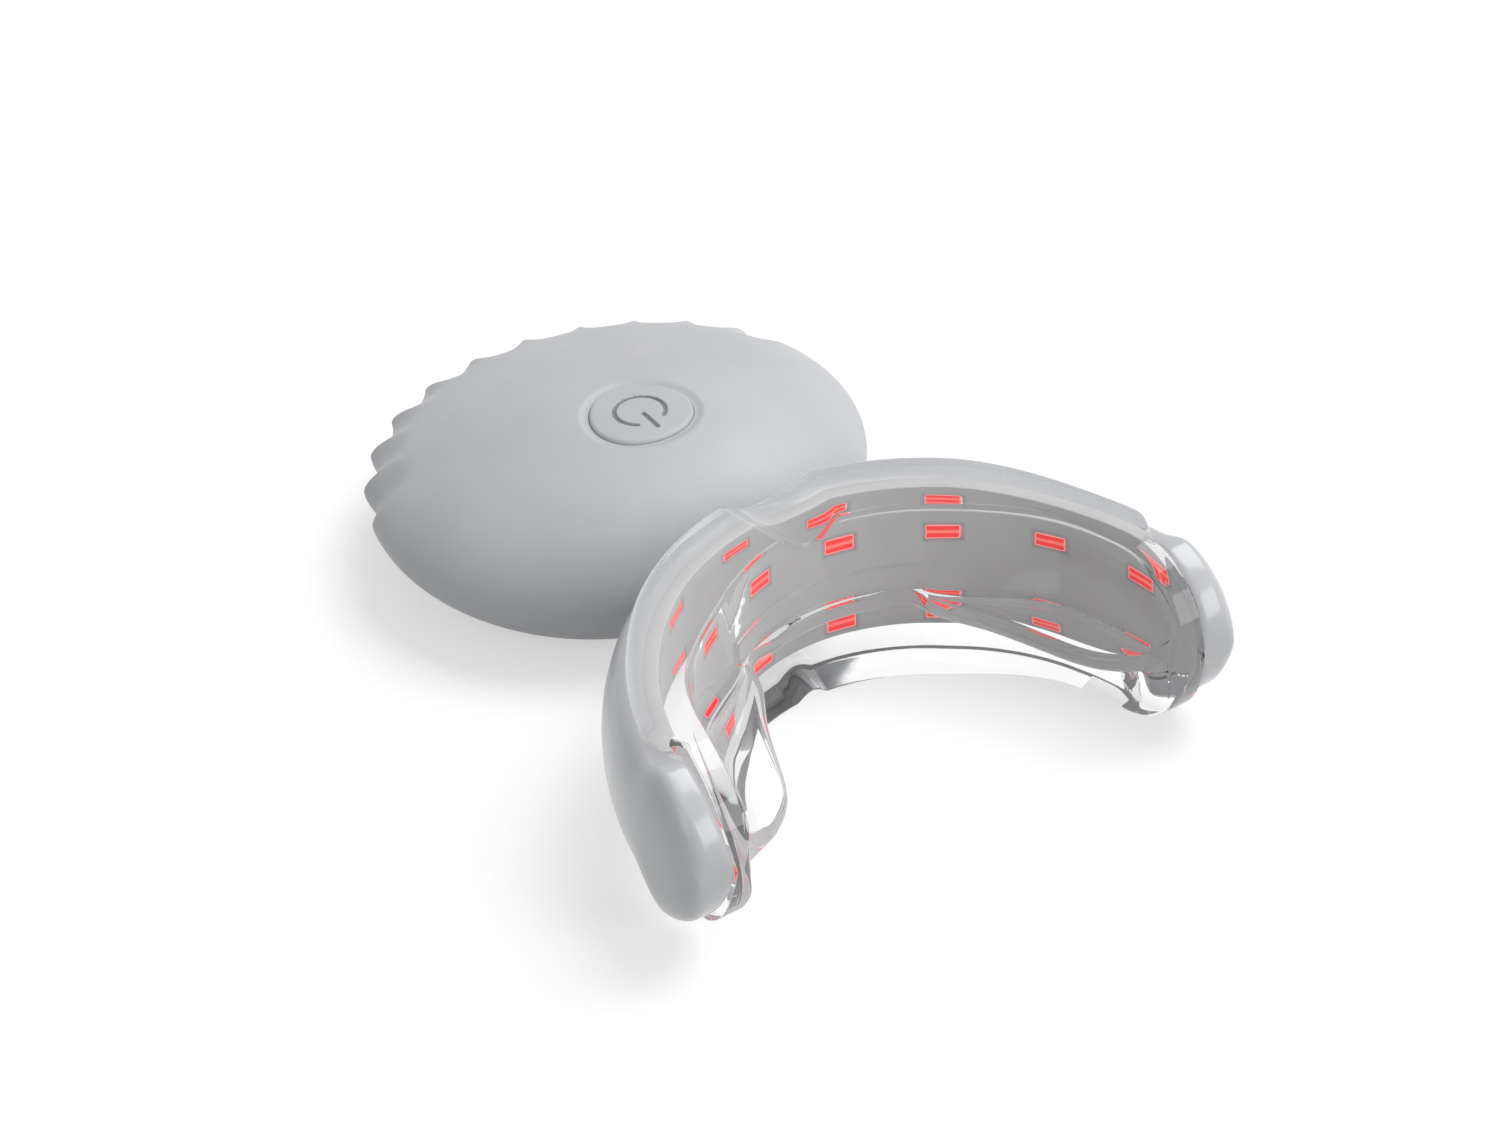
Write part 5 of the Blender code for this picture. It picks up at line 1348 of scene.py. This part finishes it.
def coil_tree():
    """Tree that winds a wire into a flat spiral of two layers."""
    inputs = (
        ("Turns", "NodeSocketFloat"),
        ("Inner Radius", "NodeSocketFloat"),
        ("Outer Radius", "NodeSocketFloat"),
        ("Wire Radius", "NodeSocketFloat"),
        ("Place", "NodeSocketVector"),
        ("Layer Rise", "NodeSocketVector"),
        ("Material", "NodeSocketMaterial"),
    )
    tree, given = new_tree("wound coil", inputs)
    spiral = add_node(
        tree,
        "GeometryNodeCurveSpiral",
        Resolution=COIL_STEPS,
        Rotations=given["Turns"],
        Start_Radius=given["Inner Radius"],
        End_Radius=given["Outer Radius"],
        Height=0.0,
    )
    profile = add_node(
        tree,
        "GeometryNodeCurvePrimitiveCircle",
        Resolution=WIRE_POINTS,
        Radius=given["Wire Radius"],
    )
    wire = add_node(
        tree,
        "GeometryNodeCurveToMesh",
        Curve=spiral.outputs["Curve"],
        Profile_Curve=profile.outputs["Curve"],
        Fill_Caps=True,
    )
    both = add_node(tree, "GeometryNodeJoinGeometry")
    layer = wire.outputs["Mesh"]
    for way in ("Place", "Layer Rise"):
        moved = add_node(tree, "GeometryNodeTransform", Geometry=layer, Translation=given[way])
        layer = moved.outputs["Geometry"]
        tree.links.new(layer, both.inputs["Geometry"])
    smooth = add_node(tree, "GeometryNodeSetShadeSmooth", Geometry=both.outputs["Geometry"])
    finish_tree(tree, given, smooth.outputs["Geometry"])
    return tree


def make_coil(sizes):
    """Charging coil: enamelled wire wound flat in two layers."""
    low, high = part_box("charging_coil")
    radius = sizes.coil_wire / 2
    guide = bpy.data.objects.new("coil guide", bpy.data.meshes.new("coil guide"))
    bpy.context.scene.collection.objects.link(guide)
    outer = COIL_RADIUS - radius
    values = {
        "Turns": float(sizes.coil_turns),
        "Inner Radius": outer - sizes.coil_turns * (sizes.coil_wire + COIL_TURN_GAP),
        "Outer Radius": outer,
        "Wire Radius": radius,
        "Place": (0.0, POD_Y, low.z + radius),
        "Layer Rise": (0.0, 0.0, high.z - low.z - sizes.coil_wire),
        "Material": enamel_material(),
    }
    coil = grown(guide, "wound_coil", coil_tree(), values)
    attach(coil, "device")
    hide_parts("charging_coil")


def pillow(name, low, high, radius, crown):
    """A soft block between two corners: rounded in plan and crowned above and below."""
    middle = [(a + b) / 2 for a, b in zip(low, high)]
    half = [(b - a) / 2 for a, b in zip(low, high)]
    shares = np.linspace(PAD_MIDDLE_SHARE, 1, PAD_RINGS)
    rings = []
    for side in (-1, 1):
        for share in shares if side < 0 else shares[::-1]:
            inset = max(half[0], half[1]) * (1 - share)
            corner = max(radius * share, radius / PAD_RINGS)
            outline = rounded_rectangle(half[0] * share, half[1] * share, corner)
            full = float(blend_share(1 - inset / half[1], PAD_CROWN_SHARE, 0.0))
            height = middle[2] + side * (half[2] + crown * full - crown)
            rings.append([(middle[0] + x, middle[1] + y, height) for x, y in outline])
    return skin(name, np.array(rings))


def make_pad():
    """Foam pad between the battery and the main board."""
    low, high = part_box("battery_pad")
    pad = pillow("foam_pad", low, high, PAD_CORNER, PAD_CROWN)
    paint(pad, foam_material())
    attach(pad, "device")
    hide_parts("battery_pad")


def soft_ring(name, node, outer, inner):
    """A rubber ring with rounded edges between two plan outlines, in a node's height."""
    low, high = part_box(node)
    reach = (high.z - low.z) * (0.5 - RING_INSET_SHARE)
    angles = np.linspace(0, math.tau, SEAL_POINTS, False)
    x_out, y_out = outer(angles)
    x_in, y_in = inner(angles)
    rings = []
    for turn in np.linspace(0, math.tau, SEAL_SECTION_POINTS, False):
        share = (1 + math.copysign(abs(math.cos(turn)) ** 0.5, math.cos(turn))) / 2
        lift = math.copysign(abs(math.sin(turn)) ** 0.5, math.sin(turn))
        height = (low.z + high.z) / 2 + lift * reach
        rings.append(laid_ring(mixed(x_in, x_out, share), mixed(y_in, y_out, share), height))
    piece = skin(name, np.array(rings), "wrap")
    paint(piece, rubber_material())
    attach(piece, "device")
    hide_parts(node)


def oval_ring(half_x, half_y):
    """A function from angles to the places round an oval on the pod's middle."""
    return lambda angles: pod_oval(half_x, half_y, angles)


def button_outline(grow):
    """A function from angles to the places round the button, grown by a distance."""
    return lambda angles: button_ring(angles, grow)


def make_seals():
    """Seal round the button and gasket in the lid's groove."""
    outer = button_outline(BUTTON_GAP + SEAL_REACH)
    inner = button_outline(BUTTON_GAP)
    soft_ring("button_gasket", "button_seal", outer, inner)
    low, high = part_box("seam_gasket")
    half_x = (high.x - low.x) / 2
    half_y = (high.y - low.y) / 2
    inner = oval_ring(half_x - GASKET_SIZE, half_y - GASKET_SIZE)
    soft_ring("lid_gasket", "seam_gasket", oval_ring(half_x, half_y), inner)


# Materials


def new_material(name):
    """An empty node material: its tree, its output and the object's own coordinates."""
    material = bpy.data.materials.new(name)
    material.use_nodes = True
    tree = material.node_tree
    tree.nodes.clear()
    result = tree.nodes.new("ShaderNodeOutputMaterial")
    place = tree.nodes.new("ShaderNodeTexCoord").outputs["Object"]
    return material, tree, result, place


def noise(tree, place, size, detail=3.0, rough=0.5):
    """Noise whose features have this size in metres, as a value round 0.5."""
    kind = "ShaderNodeTexNoise"
    node = add_node(tree, kind, Vector=place, Scale=1 / size, Detail=detail, Roughness=rough)
    return node.outputs["Fac"]


def ramp(tree, value, stops):
    """A colour ramp with these (position, colour) stops."""
    node = add_node(tree, "ShaderNodeValToRGB", Fac=value)
    for i, (position, colour) in enumerate(stops):
        stop = node.color_ramp.elements[i] if i < 2 else node.color_ramp.elements.new(position)
        stop.position = position
        stop.color = (*colour, 1.0)
    return node.outputs["Color"]


def spread(tree, value, low, high, start=0.3, end=0.7):
    """The value spread from the range of start and end to that of low and high."""
    ends = {"From_Min": start, "From_Max": end, "To_Min": low, "To_Max": high}
    return add_node(tree, "ShaderNodeMapRange", Value=value, **ends).outputs["Result"]


def bump(tree, value, depth):
    """A normal that shows the value as relief of this depth in metres."""
    node = add_node(tree, "ShaderNodeBump", Height=value, Strength=1.0, Distance=depth)
    return node.outputs["Normal"]


def mix_colours(tree, share, first, second):
    """The first colour blended into the second by this share."""
    node = add_node(tree, "ShaderNodeMix", data_type="RGBA", Factor=share)
    feed(tree, node.inputs[6], first)
    feed(tree, node.inputs[7], second)
    return node.outputs[2]


def mix_shaders(tree, share, first, second, result):
    """Show the first shader where the share is 0 and the second where it is 1."""
    node = add_node(tree, "ShaderNodeMixShader", Fac=share)
    feed(tree, node.inputs[1], first)
    feed(tree, node.inputs[2], second)
    feed(tree, result.inputs["Surface"], node.outputs["Shader"])


def shaded(colour, factor):
    """A colour made lighter or darker."""
    return tuple(min(part * factor, 1.0) for part in colour)


def moulded(name, colour, rough=SATIN, grain=MOULD_GRAIN, relief=MOULD_RELIEF, mottle=MOTTLE):
    """Moulded plastic: a fine eroded grain, slow colour changes and uneven gloss."""
    material, tree, result, place = new_material(name)
    stops = ((0.35, shaded(colour, 1 - mottle)), (0.65, shaded(colour, 1 + mottle)))
    surface = add_node(
        tree,
        "ShaderNodeBsdfPrincipled",
        Base_Color=ramp(tree, noise(tree, place, COLOUR_PATCH), stops),
        Roughness=spread(tree, noise(tree, place, GLOSS_PATCH, 4.0), *rough),
        Normal=bump(tree, noise(tree, place, grain, 2.0, 0.6), relief),
    )
    feed(tree, result.inputs["Surface"], surface.outputs["BSDF"])
    return material, tree, surface, place


def shell_material(colours):
    """Satin grey of the pod, with a faint red glow painted on the spot over the status light."""
    material, tree, surface, place = moulded("satin shell", colours.shell_colour)
    # Painted glow: the shell itself gives off red light round the spot over the status light
    spot = add_node(tree, "ShaderNodeVectorMath", operation="DISTANCE")
    feed(tree, spot.inputs[0], place)
    height = float(pod_height(STATUS_X, STATUS_Y))
    feed(tree, spot.inputs[1], (STATUS_X, POD_Y + STATUS_Y, height))
    glow = spread(tree, spot.outputs["Value"], PAINTED_STATUS_GLOW, 0.0, 0.0, PAINTED_STATUS_GLOW_REACH)
    feed(tree, surface.inputs["Emission Strength"], glow)
    surface.inputs["Emission Color"].default_value = (*colours.light_colour, 1.0)
    return material


def blend_painted_shade(tree, surface, place, share, colour):
    """Blend the surface's colour by this share into a darker, slightly uneven one: painted shade.
    """
    stops = ((0.3, shaded(colour, 0.9)), (0.7, shaded(colour, 1.1)))
    dark = ramp(tree, noise(tree, place, DARK_PATCH), stops)
    base = surface.inputs["Base Color"]
    feed(tree, base, mix_colours(tree, share, base.links[0].from_socket, dark))


def button_material(colours):
    """Satin grey of the button, with painted shade in the pressed symbol."""
    colour = shaded(colours.shell_colour, BUTTON_TONE)
    material, tree, surface, place = moulded("button cap", colour)
    symbol = add_node(tree, "ShaderNodeAttribute", attribute_name="icon")
    # Painted shade: the pressed symbol is darkened in colour, over and above its real depth
    blend_painted_shade(tree, surface, place, symbol.outputs["Fac"], shaded(colour, ICON_PAINTED_SHADE_TONE))
    return material


def casing_material(colours):
    """Casing grey, glossier towards the lobes."""
    material, tree, surface, place = moulded("casing grey", colours.shell_colour)
    back = add_node(tree, "ShaderNodeSeparateXYZ", Vector=place).outputs["Y"]
    gloss = spread(tree, back, *CASING_ROUGHNESS, LOBE_GLOSS_END, LOBE_GLOSS_START)
    feed(tree, surface.inputs["Roughness"], gloss)
    surface.inputs["Coat Weight"].default_value = CASING_COAT
    surface.inputs["Coat Roughness"].default_value = CASING_COAT_ROUGHNESS
    return material


def beside_lights(tree):
    """Distance from the edge of the nearest light, on the panel's face."""
    strip = add_node(tree, "ShaderNodeAttribute", attribute_name="strip_place")
    split = add_node(tree, "ShaderNodeSeparateXYZ", Vector=strip.outputs["Vector"])
    along = math_node(tree, "ABSOLUTE", split.outputs["X"])
    along = math_node(tree, "MINIMUM", along, LIGHTS_PER_ROW / 2 * LIGHT_PITCH)
    from_gap = math_node(tree, "PINGPONG", along, LIGHT_PITCH / 2)
    beside = math_node(tree, "SUBTRACT", (LIGHT_PITCH - LIGHT_LENGTH) / 2, from_gap)
    above = math_node(tree, "ABSOLUTE", split.outputs["Y"])
    above = math_node(tree, "SUBTRACT", above, LIGHT_ROW_RISE)
    above = math_node(tree, "ABSOLUTE", above)
    above = math_node(tree, "SUBTRACT", above, LIGHT_HEIGHT / 2)
    return math_node(tree, "MAXIMUM", beside, above)


def panel_material(colours):
    """Matt grey of the panel, with painted shade that darkens it softly round each light."""
    colour = colours.panel_colour
    made = moulded("panel grey", colour, MATT, mottle=PANEL_MOTTLE)
    material, tree, surface, place = made
    # Painted shade: the panel's colour is darkened round each light
    painted_shade = spread(tree, beside_lights(tree), PAINTED_SHADE_DARKNESS, 0.0, 0.0, PAINTED_SHADE_REACH)
    blend_painted_shade(tree, surface, place, painted_shade, shaded(colour, PAINTED_SHADE_TONE))
    return material


def silicone_material(colours):
    """Clear silicone with soft waves; the light for matt surfaces passes straight through."""
    material, tree, result, place = new_material("clear silicone")
    tint = colours.silicone_colour
    stops = ((0.35, shaded(tint, 0.985)), (0.65, shaded(tint, 1.01)))
    waves = noise(tree, place, SILICONE_WAVE_SIZE, 1.0)
    body = add_node(
        tree,
        "ShaderNodeBsdfPrincipled",
        Transmission_Weight=1.0,
        IOR=SILICONE_IOR,
        Base_Color=ramp(tree, noise(tree, place, SILICONE_PATCH), stops),
        Roughness=spread(tree, noise(tree, place, SILICONE_HAZE_PATCH, 4.0), 0.0, SILICONE_HAZE),
        Normal=bump(tree, waves, SILICONE_WAVE_DEPTH),
    )
    through = add_node(tree, "ShaderNodeBsdfTransparent", Color=SILICONE_THROUGH)
    path = tree.nodes.new("ShaderNodeLightPath").outputs
    lighting = math_node(tree, "MAXIMUM", path["Is Shadow Ray"], path["Is Diffuse Ray"])
    mix_shaders(tree, lighting, body.outputs["BSDF"], through.outputs["BSDF"], result)
    return material


def light_material(colours):
    """Lit red lens with a brighter stripe, in a pale pink frame."""
    material, tree, result, place = new_material("red light")
    colour = tuple(colours.light_colour)
    glow = add_node(tree, "ShaderNodeAttribute", attribute_name="glow").outputs["Fac"]
    stripe = add_node(tree, "ShaderNodeAttribute", attribute_name="stripe").outputs["Fac"]
    stops = (
        (0.0, STRIPE_MIDDLE),
        (0.16, STRIPE_EDGE),
        (0.28, colour),
        (0.75, shaded(colour, 0.95)),
    )
    lens = ramp(tree, math_node(tree, "ABSOLUTE", stripe), stops)
    on_lens = spread(tree, glow, 0.0, 1.0, 0.2, 0.9)
    tint = mix_colours(tree, on_lens, (*FRAME_PINK, 1.0), lens)
    surface = add_node(
        tree,
        "ShaderNodeBsdfPrincipled",
        Base_Color=tint,
        Emission_Color=tint,
        Emission_Strength=LENS_EMISSION * colours.light_strength,
        Specular_IOR_Level=BONDED_GLOSS,
        Roughness=spread(tree, noise(tree, place, LENS_GRAIN), *LENS_ROUGHNESS),
    )
    feed(tree, result.inputs["Surface"], surface.outputs["BSDF"])
    return material


def metal(finish):
    """Metal with fine marks: its material and its shader."""
    material, _, surface, _ = moulded(*finish)
    surface.inputs["Metallic"].default_value = 1.0
    return material, surface


def enamel_material():
    """Enamelled copper wire."""
    material, surface = metal(COPPER_WIRE)
    surface.inputs["Coat Weight"].default_value = WIRE_COAT
    return material


def foam_material():
    """Closed-cell foam with small open cells on its faces."""
    material, tree, surface, place = moulded(*DARK_FOAM)
    cells = add_node(tree, "ShaderNodeTexVoronoi", Vector=place, Scale=FOAM_CELLS_PER_METRE)
    relief = bump(tree, cells.outputs["Distance"], FOAM_CELL_DEPTH)
    feed(tree, surface.inputs["Normal"], relief)
    return material


def rubber_material():
    """Dark soft rubber."""
    return moulded(*DARK_RUBBER)[0]


def board_material():
    """Circuit board: solder mask over raised tracks."""
    material, tree, surface, place = moulded(*SOLDER_MASK)
    tracks = add_node(
        tree,
        "ShaderNodeTexBrick",
        Vector=place,
        Scale=BOARD_TRACK_SCALE,
        Mortar_Size=0.06,
        Brick_Width=1.4,
        Row_Height=0.25,
        Color1=(0.018, 0.12, 0.045, 1),
        Color2=(0.022, 0.14, 0.055, 1),
        Mortar=(0.04, 0.24, 0.10, 1),
    )
    feed(tree, surface.inputs["Base Color"], tracks.outputs["Color"])
    relief = bump(tree, tracks.outputs["Fac"], BOARD_TRACK_HEIGHT)
    feed(tree, surface.inputs["Normal"], relief)
    return material


def pipe_material():
    """Clear light pipe with a little haze."""
    material, _, surface, _ = moulded(*CLEAR_PIPE)
    surface.inputs["Transmission Weight"].default_value = 1.0
    surface.inputs["IOR"].default_value = PIPE_IOR
    return material


def finish_frame_nodes(colours):
    """Give the frame's pieces that stay their finishes."""
    finishes = (
        (moulded("inner shell", colours.shell_colour)[0], "pod_base", "neck_bridge"),
        (board_material(), "led_board", "main_board"),
        (moulded(*CHIP_RESIN)[0], "control_chip", "charge_chip", "led_driver", "tact_switch"),
        (metal(SCREW_STEEL)[0], "board_screw_1", "board_screw_2", "board_screw_3"),
        (metal(POUCH_FOIL)[0], "battery"),
        (moulded(*FERRITE)[0], "ferrite_sheet"),
        (moulded(*POLYIMIDE)[0], "flex_cable"),
        (moulded(*RED_COVER)[0], "battery_lead_red", "status_led"),
        (moulded(*BLACK_COVER)[0], "battery_lead_black"),
        (moulded(*WHITE_PLASTIC)[0], "switch_plunger"),
        (pipe_material(), "status_light"),
    )
    for material, *names in finishes:
        for name in names:
            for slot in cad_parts[name].material_slots:
                slot.material = material


# Stage


def make_camera():
    """Camera at the photograph's angle."""
    azimuth = math.radians(CAMERA_AZIMUTH)
    elevation = math.radians(CAMERA_ELEVATION)
    roll = math.radians(CAMERA_ROLL)
    level = math.cos(elevation)
    back = Vector((math.sin(azimuth) * level, -math.cos(azimuth) * level, math.sin(elevation)))
    right = Vector((math.cos(azimuth), math.sin(azimuth), 0))
    up = back.cross(right)
    turned_right = right * math.cos(roll) + up * math.sin(roll)
    turned_up = up * math.cos(roll) - right * math.sin(roll)
    target = Vector((0, ARCH_FRONT_Y, BITE_PLANE_Z))
    place = target + back * CAMERA_DISTANCE - turned_right * CAMERA_RIGHT - turned_up * CAMERA_UP
    turn = Matrix((turned_right, turned_up, back)).transposed().to_4x4()
    data = bpy.data.cameras.new("photo camera")
    data.lens = CAMERA_LENS
    data.sensor_width = CAMERA_SENSOR
    data.clip_start = CAMERA_NEAREST
    camera = bpy.data.objects.new("photo camera", data)
    camera.matrix_world = Matrix.Translation(place) @ turn
    bpy.context.scene.collection.objects.link(camera)
    bpy.context.scene.camera = camera


def to_background(tree):
    """1 for the rays that see the white background: camera, glossy and transmission rays."""
    path = tree.nodes.new("ShaderNodeLightPath").outputs
    seen = math_node(tree, "MAXIMUM", path["Is Camera Ray"], path["Is Glossy Ray"])
    return math_node(tree, "MAXIMUM", seen, path["Is Transmission Ray"])


def floor_material():
    """Pale floor that shows white and keeps the shadow, and throws little light back up."""
    material, tree, result, place = new_material("studio floor")
    tone = ramp(tree, noise(tree, place, FLOOR_PATCH), FLOOR_TONES)
    shown = add_node(tree, "ShaderNodeBsdfDiffuse", Color=tone)
    lift = add_node(tree, "ShaderNodeEmission", Strength=FLOOR_LIFT)
    both = tree.nodes.new("ShaderNodeAddShader")
    feed(tree, both.inputs[0], shown.outputs["BSDF"])
    feed(tree, both.inputs[1], lift.outputs["Emission"])
    dim = add_node(tree, "ShaderNodeBsdfDiffuse", Color=FLOOR_RETURN)
    share = to_background(tree)
    mix_shaders(tree, share, dim.outputs["BSDF"], both.outputs["Shader"], result)
    return material


def make_floor():
    """Wide level floor under the device."""
    form = bmesh.new()
    bmesh.ops.create_grid(form, x_segments=8, y_segments=8, size=FLOOR_SIZE / 2)
    mesh = bpy.data.meshes.new("studio_floor")
    form.to_mesh(mesh)
    form.free()
    floor = add_object("studio_floor", mesh)
    paint(floor, floor_material())


def make_world():
    """White surroundings for the camera, softer ones for the light."""
    world = bpy.data.worlds.new("studio")
    bpy.context.scene.world = world
    world.use_nodes = True
    tree = world.node_tree
    tree.nodes.clear()
    result = tree.nodes.new("ShaderNodeOutputWorld")
    seen = add_node(tree, "ShaderNodeBackground", Strength=1.0, Color=WHITE)
    lit = add_node(tree, "ShaderNodeBackground", Strength=SKY_STRENGTH, Color=SKY_COLOUR)
    share = to_background(tree)
    mix_shaders(tree, share, lit.outputs["Background"], seen.outputs["Background"], result)


def add_softbox(name, place, size, power):
    """A square soft lamp aimed at the device."""
    data = bpy.data.lights.new(name, "AREA")
    data.shape = "SQUARE"
    data.size = size
    data.energy = power
    lamp = bpy.data.objects.new(name, data)
    aim = (Vector((0, 0, BITE_PLANE_Z)) - Vector(place)).to_track_quat("-Z", "Y")
    lamp.matrix_world = Matrix.Translation(place) @ aim.to_matrix().to_4x4()
    bpy.context.scene.collection.objects.link(lamp)


def make_stage():
    """Camera, floor, surroundings and soft lamps."""
    make_camera()
    make_floor()
    make_world()
    for lamp in LAMPS:
        add_softbox(*lamp)
    cycles = bpy.context.scene.cycles
    cycles.max_bounces = CLEAR_BOUNCES
    cycles.glossy_bounces = CLEAR_BOUNCES
    cycles.transmission_bounces = CLEAR_BOUNCES
    bpy.context.scene.view_settings.view_transform = "Standard"


# Add-on


class DEVICE_OT_clear_tray(bpy.types.Operator):
    """Build the clear mouth tray"""

    bl_idname = "device.clear_tray"
    bl_label = "Clear tray"

    def execute(self, context):
        make_tray(context.scene.device_colours)
        return {"FINISHED"}


class DEVICE_OT_strip_casing(bpy.types.Operator):
    """Build the casing of the light strip"""

    bl_idname = "device.strip_casing"
    bl_label = "Strip casing"

    def execute(self, context):
        make_casing(context.scene.device_colours)
        return {"FINISHED"}


class DEVICE_OT_light_panel(bpy.types.Operator):
    """Build the panel with its windows"""

    bl_idname = "device.light_panel"
    bl_label = "Light panel"

    def execute(self, context):
        make_panel(context.scene.device_colours)
        return {"FINISHED"}


class DEVICE_OT_red_lights(bpy.types.Operator):
    """Build both rows of lights"""

    bl_idname = "device.red_lights"
    bl_label = "Red lights"

    def execute(self, context):
        make_lights(context.scene.device_colours)
        return {"FINISHED"}


class DEVICE_OT_pod_shell(bpy.types.Operator):
    """Build the fluted shell of the pod"""

    bl_idname = "device.pod_shell"
    bl_label = "Pod shell"

    def execute(self, context):
        make_shell(context.scene.device_colours)
        return {"FINISHED"}


class DEVICE_OT_power_button(bpy.types.Operator):
    """Build the power button with its symbol"""

    bl_idname = "device.power_button"
    bl_label = "Power button"

    def execute(self, context):
        make_button(context.scene.device_sizes, context.scene.device_colours)
        return {"FINISHED"}


class DEVICE_OT_inner_pieces(bpy.types.Operator):
    """Build the coil, the foam pad and the seals"""

    bl_idname = "device.inner_pieces"
    bl_label = "Inner pieces"

    def execute(self, context):
        make_coil(context.scene.device_sizes)
        make_pad()
        make_seals()
        return {"FINISHED"}


class DEVICE_OT_frame_finishes(bpy.types.Operator):
    """Give the frame's other pieces their finishes"""

    bl_idname = "device.frame_finishes"
    bl_label = "Frame finishes"

    def execute(self, context):
        finish_frame_nodes(context.scene.device_colours)
        return {"FINISHED"}


class DEVICE_OT_stage(bpy.types.Operator):
    """Build the camera, the floor, the surroundings and the lamps"""

    bl_idname = "device.stage"
    bl_label = "Stage"

    def execute(self, context):
        make_stage()
        return {"FINISHED"}


OPERATORS = (
    DEVICE_OT_clear_tray,
    DEVICE_OT_strip_casing,
    DEVICE_OT_light_panel,
    DEVICE_OT_red_lights,
    DEVICE_OT_pod_shell,
    DEVICE_OT_power_button,
    DEVICE_OT_inner_pieces,
    DEVICE_OT_frame_finishes,
    DEVICE_OT_stage,
)


class DEVICE_PT_pieces(bpy.types.Panel):
    """Settings and pieces of the device"""

    bl_idname = "DEVICE_PT_pieces"
    bl_label = "Whitening light"
    bl_space_type = "VIEW_3D"
    bl_region_type = "UI"
    bl_category = "Whitening light"

    def draw(self, context):
        layout = self.layout
        for group in (context.scene.device_colours, context.scene.device_sizes):
            for name in group.bl_rna.properties.keys():
                if name not in ("name", "rna_type"):
                    layout.prop(group, name)
        for operator in OPERATORS:
            layout.operator(operator.bl_idname)


CLASSES = (DeviceColours, DeviceSizes, *OPERATORS, DEVICE_PT_pieces)


def register():
    """Add the classes and the settings to Blender."""
    for made in CLASSES:
        bpy.utils.register_class(made)
    bpy.types.Scene.device_colours = bpy.props.PointerProperty(type=DeviceColours)
    bpy.types.Scene.device_sizes = bpy.props.PointerProperty(type=DeviceSizes)


def unregister():
    """Take the classes and the settings out again."""
    del bpy.types.Scene.device_sizes
    del bpy.types.Scene.device_colours
    for made in reversed(CLASSES):
        bpy.utils.unregister_class(made)


def main():
    """Build every piece and the stage in order."""
    for name in ("Cube", "Light", "Camera"):
        if name in bpy.data.objects:
            bpy.data.objects.remove(bpy.data.objects[name])
    register()
    for operator in OPERATORS:
        group, name = operator.bl_idname.split(".")
        getattr(getattr(bpy.ops, group), name)()


if __name__ == "__main__":
    main()
